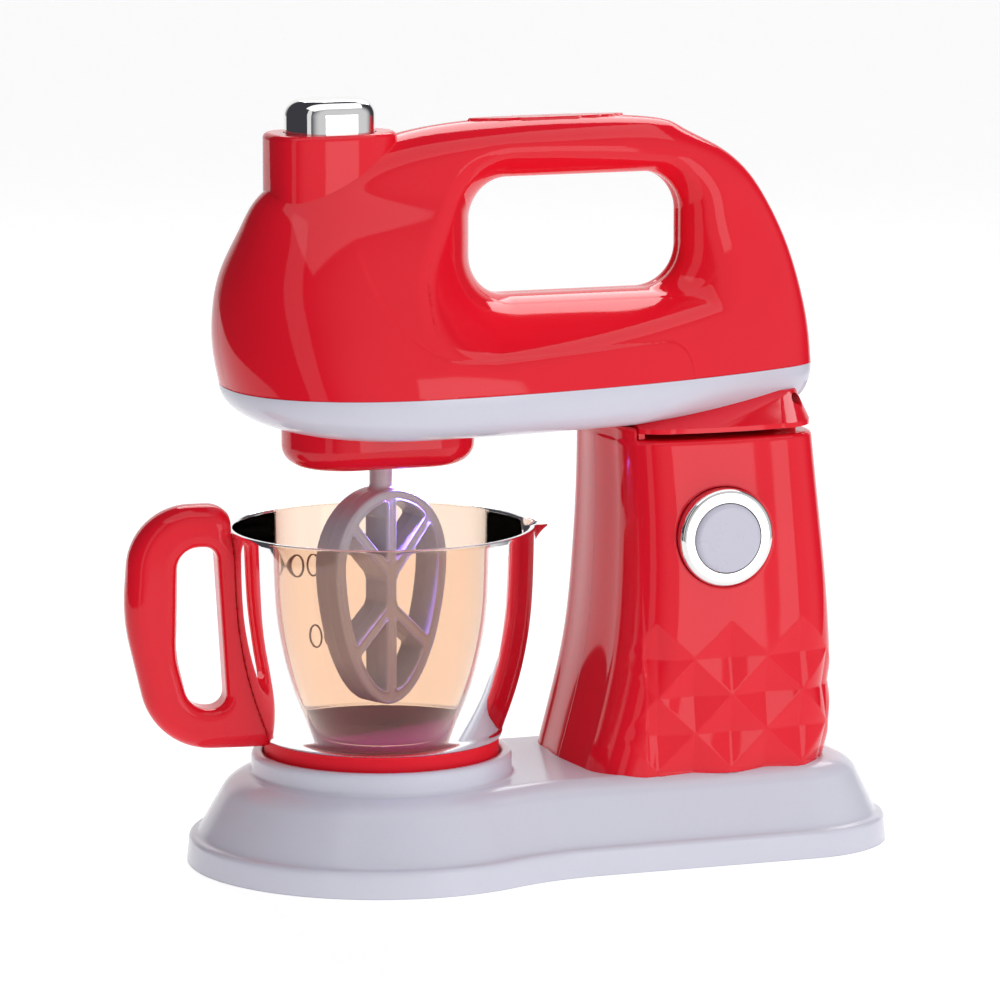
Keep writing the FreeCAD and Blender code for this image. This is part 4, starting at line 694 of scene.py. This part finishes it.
def make_head():
    step = 0.7
    for name, side in (("head_left", -1), ("head_right", 1)):
        def form(x, y, z, screwed=side > 0):
            body = np.maximum(head_form(x, y, z), np.maximum(147.0 - z, -1.5 - y))
            if not screwed:
                return body
            holes = meet(hole_y(x, z, HEAD_SCREWS, SCREW_HOLE), 4.0 - y, 0.2)
            return meet(body, -holes, 0.4)
        verts, quads = skin(form, (-104, -3, 145), (94, 46, 230.5), step)
        gap = line_side(verts[:, 0], verts[:, 2], smooth_line(PANEL_LINE))
        fade = np.clip((196.0 - verts[:, 2]) / 16.0, 0, 1) * (verts[:, 1] > 12)
        edge = np.clip(0.5 + gap / 0.9, 0, 1) ** 2
        sink = PANEL_DEPTH * fade * edge * np.exp(-np.maximum(gap, 0) / PANEL_FADE)
        verts[:, 1] -= sink
        placed = verts * (1, side, 1)
        faces = quads if side > 0 else quads[:, ::-1]
        mesh = to_mesh(name, placed, faces)
        cut_flat(mesh, (0, side * HALF_GAP, 0), (0, -side, 0))
        cut_flat(mesh, (0, 0, HEAD_BOTTOM), (0, 0, -1))
        settle(name, mesh, "coral_plastic", "head", "head_shell_" + name[5:])

# Column

# Height, front and back along X, half width and corner radius
COLUMN_SECTIONS = [
    (26.4, 9.6, 89.6, 35.6, 16.5),
    (40.0, 13.4, 90.6, 36.0, 16.5),
    (60.0, 18.2, 90.6, 36.0, 16.5),
    (85.0, 20.9, 89.2, 34.8, 16.0),
    (108.0, 21.8, 87.2, 32.6, 15.0),
    (130.2, 21.6, 85.4, 30.0, 14.0),
]
# Screw holes in X and Z, and their radius
SCREW_HOLE = 2.9
COLUMN_SCREWS = [(27, 50), (83, 50), (28, 120), (79, 117)]
HEAD_SCREWS = [(-34, 198), (-34, 164), (58, 166), (54, 214), (4, 219)]


COLUMN_BOTTOM = 26.4

# Recess of the push button: radius, and how far its floor is from the middle plane
BUTTON_HOLE = 15.5
BUTTON_FLOOR = 31.0

# Middle height and place along X of the diamonds' pattern
DIAMOND_Z = 62.6
DIAMOND_X = 28.0

# Raised lip in front of the neck: its top, and where it ends along X
LIP_TOP = 134.0
LIP_END = 25.0

# Pocket in the column's top for the snap tongue: middle and half length along X, half width and floor
POCKET_X = 46.0
POCKET_HALF = 16.0
POCKET_SIDE = 12.0
POCKET_FLOOR = 118.0

# Ears for the hinge pin: radius, middle and half thickness along Y, lower part's middle and half height
EAR_RADIUS = 4.0
EAR_Y = 5.9
EAR_HALF = 1.9
EAR_POST_Z = 134.0
EAR_POST_HALF = 5.0
PIN_RADIUS = 2.0


def column_plan(x, y, z):
    """Distance from the column's wall, and the way round it measured along X on the flat side."""
    table = np.array(COLUMN_SECTIONS)
    front, back, half, corner = [spline(table[:, 0], table[:, k], z) for k in range(1, 5)]
    flat = rounded_box(x, y, front, back, -half, half, corner)
    middle = (front + back) / 2
    run = (back - front) / 2 - corner
    over = np.clip(1 - ((x - middle) / run) ** 2, 0, 1) ** 2
    ends = np.clip(1 - (y / (half - corner)) ** 2, 0, 1) ** 2
    on_side = np.abs(y) > half - corner
    flat = flat - mixer.column_bulge * np.where(on_side, over, ends * (np.abs(x - middle) > run))
    past = np.abs(x - middle) - run
    angle = np.arctan2(np.maximum(past, 0), np.maximum(np.abs(y) - half + corner, 1e-6))
    turned = run + corner * angle + np.maximum(half - corner - np.abs(y), 0) * (past > 0)
    around = middle + np.sign(x - middle) * np.where(past > 0, turned, np.abs(x - middle))
    return flat, around


def diamonds(around, z):
    """Depth of the sunken four-sided pyramids."""
    s = (around - DIAMOND_X) / mixer.diamond_wide + (z - DIAMOND_Z) / mixer.diamond_tall
    t = (around - DIAMOND_X) / mixer.diamond_wide - (z - DIAMOND_Z) / mixer.diamond_tall
    i, j = np.round(s), np.round(t)
    depth = 1 - 2 * np.maximum(np.abs(s - i), np.abs(t - j))
    row = j - i
    centre = DIAMOND_X + (i + j) * mixer.diamond_wide / 2
    return mixer.diamond_depth * depth * (row >= 0) * (centre > 20) * (centre < 92)


def column_form(x, y, z):
    """Whole column with diamonds, lip, pocket and ears."""
    wall, around = column_plan(x, y, z)
    body = meet(wall + diamonds(around, z), z - mixer.column_top, 1.6)
    lip = meet(meet(wall, z - LIP_TOP, 0.8), x - LIP_END, 0.6)
    body = join(body, lip, 0.5)
    pocket = np.maximum(np.abs(x - POCKET_X) - POCKET_HALF, np.abs(y) - POCKET_SIDE)
    pocket = np.maximum(pocket, POCKET_FLOOR - z)
    body = meet(body, -pocket, 0.3)
    body = np.minimum(body, ears(x, y, z))
    return meet(body, COLUMN_BOTTOM - z, 0.2)


def ears(x, y, z):
    """Two upright ears on the column that hold the hinge pin."""
    from_pin = np.hypot(x - mixer.hinge_x, z - mixer.hinge_z)
    post = np.maximum(np.abs(x - mixer.hinge_x) - EAR_RADIUS, np.abs(z - EAR_POST_Z) - EAR_POST_HALF)
    outline = np.minimum(post, from_pin - EAR_RADIUS)
    outline = np.maximum(outline, PIN_RADIUS - from_pin)
    return meet(outline, np.abs(np.abs(y) - EAR_Y) - EAR_HALF, 0.3)


def hole_y(x, z, spots, radius):
    """Distance from round holes along Y."""
    best = None
    for spot_x, spot_z in spots:
        gap = np.hypot(x - spot_x, z - spot_z) - radius
        best = gap if best is None else np.minimum(best, gap)
    return best


def column_left(x, y, z):
    """Half with the push button's recess."""
    inner = meet(np.hypot(x - mixer.button_x, z - mixer.button_z) - BUTTON_HOLE, y + BUTTON_FLOOR, 0.2)
    return meet(column_form(x, y, z), -inner, 0.5)


def column_right(x, y, z):
    """Half with the screw holes."""
    holes = meet(hole_y(x, z, COLUMN_SCREWS, SCREW_HOLE), 14.0 - y, 0.2)
    return meet(column_form(x, y, z), -holes, 0.4)


def make_column():
    step = 0.5
    for name, form, low, high, side in (
            ("column_left", column_left, (6, -40, 25), (94, 1.5, 144.5), -1),
            ("column_right", column_right, (6, -1.5, 25), (94, 40, 144.5), 1)):
        verts, quads = skin(form, low, high, step)
        mesh = to_mesh(name, verts, quads)
        cut_flat(mesh, (0, side * HALF_GAP, 0), (0, -side, 0))
        settle(name, mesh, "coral_plastic", "stand", "column_shell_" + name[7:])


# Base

# Heights: where the sloping wall starts, the deck, the flange's top, the seat's top and its floor
WALL_START = 7.5
DECK = 27.3
FLANGE_TOP = 8.5
SEAT_TOP = 34.2
SEAT_FLOOR = 31.6
SEAT_OUTER = 40.4
SEAT_INNER = 37.0

# How far the wall is set in from the foot's outline, and how much more up to the deck at nose, sides and back
WALL_INSET = 2.6
WALL_LEAN = (11.4, 8.8, 10.0)

# The underside is hollow for the base plate: how far in, and how deep
UNDER_INSET = 2.2
UNDER_DEPTH = 2.4


def base_plan(x, y, inset, side_inset, back_inset):
    """Distance from the base's outline, drawn in by separate amounts at nose, sides and back."""
    nose = mixer.foot_nose - inset
    half = mixer.foot_half - side_inset
    back = mixer.foot_back - back_inset
    corner = mixer.foot_corner - back_inset
    waist = mixer.foot_waist + side_inset
    side = np.abs(y)
    waist_x = mixer.bowl_x + np.sqrt((nose + waist) ** 2 - (half + waist) ** 2)
    lean = np.arctan2(half + waist, waist_x - mixer.bowl_x)
    round_nose = np.hypot(x - mixer.bowl_x, side) - nose
    hollow = waist - np.hypot(x - waist_x, side - half - waist)
    corner_x = back - corner
    in_corner = (x > corner_x) & (side > half - corner)
    straight = np.where(in_corner, np.hypot(x - corner_x, side - half + corner) - corner,
                        np.maximum(side - half, x - back))
    turn = np.arctan2(side, x - mixer.bowl_x)
    return np.where(turn > lean, round_nose, np.where(x < waist_x, hollow, straight))


def make_base():
    step = 0.8

    def form(x, y, z):
        rise = np.clip((z - WALL_START) / (DECK - WALL_START), 0, 1.5)
        slope = base_plan(x, y, *[WALL_INSET + lean * rise for lean in WALL_LEAN]) * 0.88
        wall = meet(slope, z - DECK, 5.0)
        inset = 0.8 * np.clip(z / FLANGE_TOP, 0, 1)
        flange = meet(base_plan(x, y, inset, inset, inset), z - FLANGE_TOP, 1.3)
        body = join(wall, flange, 0.8)
        around = np.hypot(x - mixer.bowl_x, y)
        body = join(body, meet(around - SEAT_OUTER, z - SEAT_TOP, 1.5), 1.0)
        body = meet(body, -meet(around - SEAT_INNER, SEAT_FLOOR - z, 0.3), 0.5)
        under = meet(base_plan(x, y, UNDER_INSET, UNDER_INSET, UNDER_INSET), z - UNDER_DEPTH, 0.1)
        return np.maximum(meet(body, -under, 0.2), -2.0 - z)
    verts, quads = skin(form, (-113, -63, -4), (114, 63, 36), step)
    mesh = to_mesh("base", verts, quads)
    cut_flat(mesh, (0, 0, 0.001), (0, 0, -1))
    settle("base", mesh, "pale_plastic", "stand", "base_shell")


# Beater

# Half thickness, bead height, and the shaft's radius, lower end and upper end
BEATER_SIDE = 4.75
BEATER_BEAD = 0.7
SHAFT_RADIUS = 3.5
SHAFT_FOOT = 108
SHAFT_TOP = 138.6

# Ends of the bars in the beater's own plane
BEATER_BARS = [((0, 50.6), (0, 114)), ((0, 89), (18, 108.2)), ((0, 89), (-18, 108.2)),
               ((0, 79), (17, 64.2)), ((0, 79), (-17, 64.2))]


def beater_flat(u, z):
    """Distance from the beater's pattern of rim and bars, in its own plane."""
    upper = z > mixer.beater_wide
    reach = np.where(upper, mixer.beater_top - mixer.beater_wide, mixer.beater_wide - mixer.beater_bottom)
    power = np.where(upper, 2.0, 1.75)
    ratio_u = np.abs(u) / mixer.beater_half
    ratio_z = np.abs(z - mixer.beater_wide) / reach
    level = ratio_u ** 2 + ratio_z ** power
    slope_u = 2 * ratio_u / mixer.beater_half
    slope_z = power * ratio_z ** (power - 1) / reach
    outline = (level - 1) / np.maximum(np.hypot(slope_u, slope_z), 0.02)
    pattern = np.abs(outline + mixer.beater_rim / 2) - mixer.beater_rim / 2
    for (u0, z0), (u1, z1) in BEATER_BARS:
        du, dz = u1 - u0, z1 - z0
        share = np.clip(((u - u0) * du + (z - z0) * dz) / (du * du + dz * dz), 0, 1)
        gap = np.hypot(u - u0 - share * du, z - z0 - share * dz) - mixer.beater_bar / 2
        pattern = join(pattern, gap, 0.8)
    return np.maximum(pattern, outline)


def beater_form(u, w, z):
    """Beater with a bead along its edges and a seam round its middle, and its shaft."""
    pattern = beater_flat(u, z)
    bead = BEATER_BEAD * np.exp(-((pattern + 0.6) / 0.42) ** 2)
    seam = 0.12 * np.exp(-(w / 0.35) ** 2)
    paddle = meet(pattern - seam, np.abs(w) - BEATER_SIDE - bead, 0.3)
    shaft = np.hypot(u, w) - SHAFT_RADIUS
    shaft = np.maximum(np.maximum(shaft, SHAFT_FOOT - z), z - SHAFT_TOP)
    return join(paddle, shaft, 1.4)


def make_beater():
    step = 0.42
    verts, quads = skin(beater_form, (-24.5, -6.5, 47), (24.5, 6.5, 140), step)
    placed = about_bowl(verts, mixer.beater_turn)
    settle("beater", to_mesh("beater", placed, quads), "beater_plastic", "beater", "beater_paddle",
           slot="cap_plastic")


# Bowl

# Profile of the cup's top, and of the bowl, as radius and height
CUP_FLOOR = [(0.01, 38.7), (35.0, 38.7), (35.6, 39.2), (35.9, 40.2), (34.8, 40.75), (0.01, 40.75)]
BOWL_PROFILE = [(36.6, 38.6), (41.6, 52.7), (44.7, 65.2), (46.5, 78.0), (47.2, 91.0), (47.5, 104.3)]


BOWL_BOTTOM = 38.75

# The clear floor is a ring outside this radius, at this height and half thickness
FLOOR_HOLE = 35.0
FLOOR_Z = 39.7
FLOOR_HALF = 0.95

# Tongue of the spout: half width, reach, and the height at which it starts
SPOUT_SIDE = 6.2
SPOUT_REACH = 5.4
SPOUT_START = 96.0

# Raised noughts: name, turn about the bowl axis in degrees, height, then their half height, half width
# and line radius
DIGITS = [("digit_high_a", 102.6, 84.2), ("digit_high_b", 96.8, 84.2),
          ("digit_low_a", 97.4, 62.2), ("digit_low_b", 91.5, 62.2)]
DIGIT_HALF = 3.4
DIGIT_SIDE = 1.75
DIGIT_LINE = 0.28


def bowl_radius(z):
    table = np.array(BOWL_PROFILE)
    return spline(table[:, 1], table[:, 0], z)


def bowl_side(x, y, z):
    """Offset from the middle of the bowl's wall, pushed out into a short tongue at the rim."""
    tongue = np.exp(-(y / SPOUT_SIDE) ** 4) * np.clip(x / 30, 0, 1)
    reach = np.clip((z - SPOUT_START) / (mixer.rim_height - SPOUT_START), 0, 1.2)
    return np.hypot(x, y) - bowl_radius(z) - SPOUT_REACH * tongue * reach ** 2.2 + mixer.bowl_wall / 2


def bowl_form(x, y, z):
    """Thin wall and floor; x runs towards the spout."""
    wall = np.abs(even(bowl_side)(x, y, z)) - mixer.bowl_wall / 2
    radius = np.hypot(x, y)
    floor = meet(radius - bowl_radius(z) + 0.3, np.abs(z - FLOOR_Z) - FLOOR_HALF, 0.4)
    floor = np.maximum(floor, FLOOR_HOLE - radius)
    body = join(meet(wall, BOWL_BOTTOM - z, 0.5), floor, 1.5)
    droop = 0.16 * np.maximum(radius - 47.5, 0)
    return meet(body, z - mixer.rim_height + droop, 0.6)


def ring_line(points, radius, sides=8):
    """Closed tube round a loop of points."""
    points = np.asarray(points, dtype=float)
    n = len(points)
    along = np.roll(points, -1, axis=0) - np.roll(points, 1, axis=0)
    along /= np.linalg.norm(along, axis=1, keepdims=True)
    out = points * (1, 1, 0)
    out /= np.linalg.norm(out, axis=1, keepdims=True)
    across = np.cross(along, out)
    turn = np.arange(sides) * 2 * math.pi / sides
    verts = points[:, None, :] + radius * (np.cos(turn)[None, :, None] * out[:, None, :]
                                           + np.sin(turn)[None, :, None] * across[:, None, :])
    faces = []
    for i in range(n):
        for j in range(sides):
            a, b = i * sides + j, i * sides + (j + 1) % sides
            c, d = ((i + 1) % n) * sides + (j + 1) % sides, ((i + 1) % n) * sides + j
            faces.append((a, b, c, d))
    return verts.reshape(-1, 3), faces


def about_bowl(verts, turn):
    """Points turned about the bowl's axis and moved to its place."""
    c, s = math.cos(turn), math.sin(turn)
    return np.stack([mixer.bowl_x + verts[:, 0] * c - verts[:, 1] * s,
                     verts[:, 0] * s + verts[:, 1] * c, verts[:, 2]], axis=1)


def make_bowl():
    step = 0.6
    verts, quads = skin(bowl_form, (-49.5, -49.5, 37), (57, 49.5, 106), step)
    mesh = to_mesh("bowl", about_bowl(verts, mixer.spout_turn), quads)
    settle("bowl", mesh, "amber_clear", "bowl", "bowl_body")
    verts, faces = lathe(CUP_FLOOR, (mixer.bowl_x, 0))
    # The cup's top takes the darkened coral of painted shade
    finish("bowl_floor", verts, faces, "red_floor", "bowl", slot="coral_plastic")
    for name, turn, high in DIGITS:
        loop = []
        for i in range(40):
            way_round = 2 * math.pi * i / 40
            z = high + DIGIT_HALF * math.sin(way_round)
            radius = float(bowl_radius(np.array([z]))[0]) + 0.05
            swing = math.radians(turn) + DIGIT_SIDE * math.cos(way_round) / radius
            loop.append((radius * math.cos(swing), radius * math.sin(swing), z))
        verts, faces = ring_line(loop, DIGIT_LINE)
        # The noughts are drawn in opaque darker amber, which is painted shade
        finish(name, verts + (mixer.bowl_x, 0, 0), faces, "amber_line", "bowl", slot="amber_clear")


# Handle

# Corners in the handle's own plane, as distance from the bowl's axis and height, and their radii
HANDLE_OUTLINE = [(32, 36.8), (71, 36.8), (80.5, 78), (78, 112.8), (46.4, 112.8), (46.2, 102.5), (32, 98)]
HANDLE_RADII = [6, 22, 60, 20, 8, 2, 6]
HANDLE_HOLE = [(49.0, 49.6), (60.5, 49.6), (65.0, 66.0), (64.2, 100.0), (52.0, 100.0)]
HANDLE_HOLE_RADII = [4.5, 7.6, 30, 7.0, 4.0]


def rounded_loop(corners, radii, steps=14):
    """Points of a closed outline whose corners are rounded by arcs."""
    out = []
    n = len(corners)
    for i in range(n):
        spot = np.array(corners[i], dtype=float)
        before = np.array(corners[i - 1], dtype=float) - spot
        after = np.array(corners[(i + 1) % n], dtype=float) - spot
        before /= np.linalg.norm(before)
        after /= np.linalg.norm(after)
        half = math.acos(np.clip(before @ after, -1, 1)) / 2
        reach = radii[i] / math.tan(half)
        middle = (before + after) / np.linalg.norm(before + after) * radii[i] / math.sin(half) + spot
        first = spot + before * reach - middle
        last = spot + after * reach - middle
        a0 = math.atan2(first[1], first[0])
        swing = (math.atan2(last[1], last[0]) - a0 + math.pi) % (2 * math.pi) - math.pi
        for k in range(steps + 1):
            angle = a0 + swing * k / steps
            out.append(middle + radii[i] * np.array([math.cos(angle), math.sin(angle)]))
    return out


def loop_distance(u, v, loop):
    """Signed distance from a closed outline, negative inside."""
    best = np.full(np.broadcast(u, v).shape, 1e9)
    odd = np.zeros(best.shape, dtype=bool)
    for (u0, v0), (u1, v1) in zip(loop, loop[1:] + loop[:1]):
        du, dv = u1 - u0, v1 - v0
        if du * du + dv * dv < 1e-9:
            continue
        share = np.clip(((u - u0) * du + (v - v0) * dv) / (du * du + dv * dv), 0, 1)
        best = np.minimum(best, (u - u0 - share * du) ** 2 + (v - v0 - share * dv) ** 2)
        if abs(dv) > 1e-12:
            crossing = ((v0 > v) != (v1 > v)) & (u < u0 + (v - v0) * du / dv)
            odd ^= crossing
    return np.where(odd, -1.0, 1.0) * np.sqrt(best)


OUTER_LOOP = rounded_loop(HANDLE_OUTLINE, HANDLE_RADII)
HOLE_LOOP = rounded_loop(HANDLE_HOLE, HANDLE_HOLE_RADII)


# Half thickness, how much thicker it is at the bowl, and the ribs inside the opening
HANDLE_SIDE = 7.0
HANDLE_SWELL = 0.35
RIB_HEIGHT = 0.5
RIB_PLACE = 2.4
RIB_WIDE = 0.55

# Gap between handle and bowl, the cup's top and the radius kept clear of it
HANDLE_GAP = 0.12
CUP_TOP = 38.6
CUP_CLEAR = 36.42


def handle_form(r, w, z):
    """Handle in its own plane: r from the bowl's axis, w across."""
    outer = loop_distance(r, z, OUTER_LOOP)
    inner = loop_distance(r, z, HOLE_LOOP)
    side = np.abs(w) - HANDLE_SIDE - HANDLE_SWELL * np.clip((58 - r) / 14, 0, 1)
    body = meet(outer, side, 6.2)
    ribs = RIB_HEIGHT * np.exp(-((np.abs(w) - RIB_PLACE) / RIB_WIDE) ** 2) * np.clip((r - 60) / 4, 0, 1)
    body = meet(body, -inner - ribs, 3.4)
    around = np.hypot(r, w)
    clear = bowl_radius(np.minimum(z, mixer.rim_height + 20)) + HANDLE_GAP
    return meet(body, np.where(z > CUP_TOP, clear, CUP_CLEAR) - around, 0.25)


def make_handle():
    step = 0.7
    verts, quads = skin(handle_form, (33, -9, 35), (83, 9, 115), step)
    placed = about_bowl(verts, mixer.handle_turn)
    settle("handle", to_mesh("handle", placed, quads), "coral_plastic", "bowl", "bowl_handle")

# Operators, sidebar and run


class MakeFinishes(bpy.types.Operator):
    """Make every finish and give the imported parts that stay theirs"""

    bl_idname = "mixer.finishes"
    bl_label = "Finishes"

    def execute(self, context):
        make_finishes()
        dress_nodes()
        return {"FINISHED"}


class MakeHead(bpy.types.Operator):
    """Make both halves of the head with the hand opening and the panel line"""

    bl_idname = "mixer.head"
    bl_label = "Head"

    def execute(self, context):
        make_head()
        return {"FINISHED"}


class MakeColumn(bpy.types.Operator):
    """Make both halves of the column with the diamonds and the hinge ears"""

    bl_idname = "mixer.column"
    bl_label = "Column"

    def execute(self, context):
        make_column()
        return {"FINISHED"}


class MakeBase(bpy.types.Operator):
    """Make the base with its stepped foot and the bowl seat"""

    bl_idname = "mixer.base"
    bl_label = "Base"

    def execute(self, context):
        make_base()
        return {"FINISHED"}


class MakeBeater(bpy.types.Operator):
    """Make the beater and its shaft"""

    bl_idname = "mixer.beater"
    bl_label = "Beater"

    def execute(self, context):
        make_beater()
        return {"FINISHED"}


class MakeBowl(bpy.types.Operator):
    """Make the clear bowl, its floor and the raised digits"""

    bl_idname = "mixer.bowl"
    bl_label = "Bowl"

    def execute(self, context):
        make_bowl()
        return {"FINISHED"}


class MakeHandle(bpy.types.Operator):
    """Make the bowl's handle"""

    bl_idname = "mixer.handle"
    bl_label = "Handle"

    def execute(self, context):
        make_handle()
        return {"FINISHED"}


class MakeStage(bpy.types.Operator):
    """Make the camera, the floor, the world and the lights"""

    bl_idname = "mixer.stage"
    bl_label = "Stage"

    def execute(self, context):
        make_stage()
        return {"FINISHED"}


PIECES = (MakeFinishes, MakeHead, MakeColumn, MakeBase, MakeBeater, MakeBowl, MakeHandle, MakeStage)


class MixerPanel(bpy.types.Panel):
    """Sizes, colours and pieces of the toy stand mixer"""

    bl_idname = "VIEW3D_PT_mixer"
    bl_label = "Toy stand mixer"
    bl_space_type = "VIEW_3D"
    bl_region_type = "UI"
    bl_category = "Mixer"

    def draw(self, context):
        for piece in PIECES:
            self.layout.operator(piece.bl_idname)
        for group in (context.scene.mixer_sizes, context.scene.mixer_colours):
            box = self.layout.box()
            for name in group.__annotations__:
                box.prop(group, name)


CLASSES = (MixerSizes, MixerColours, *PIECES, MixerPanel)


def register():
    for kind in CLASSES:
        bpy.utils.register_class(kind)
    bpy.types.Scene.mixer_sizes = bpy.props.PointerProperty(type=MixerSizes)
    bpy.types.Scene.mixer_colours = bpy.props.PointerProperty(type=MixerColours)


def unregister():
    del bpy.types.Scene.mixer_sizes
    del bpy.types.Scene.mixer_colours
    for kind in reversed(CLASSES):
        bpy.utils.unregister_class(kind)


def main():
    register()
    bpy.ops.mixer.finishes()
    bpy.ops.mixer.head()
    bpy.ops.mixer.column()
    bpy.ops.mixer.base()
    bpy.ops.mixer.beater()
    bpy.ops.mixer.bowl()
    bpy.ops.mixer.handle()
    bpy.ops.mixer.stage()


if __name__ == "__main__":
    main()
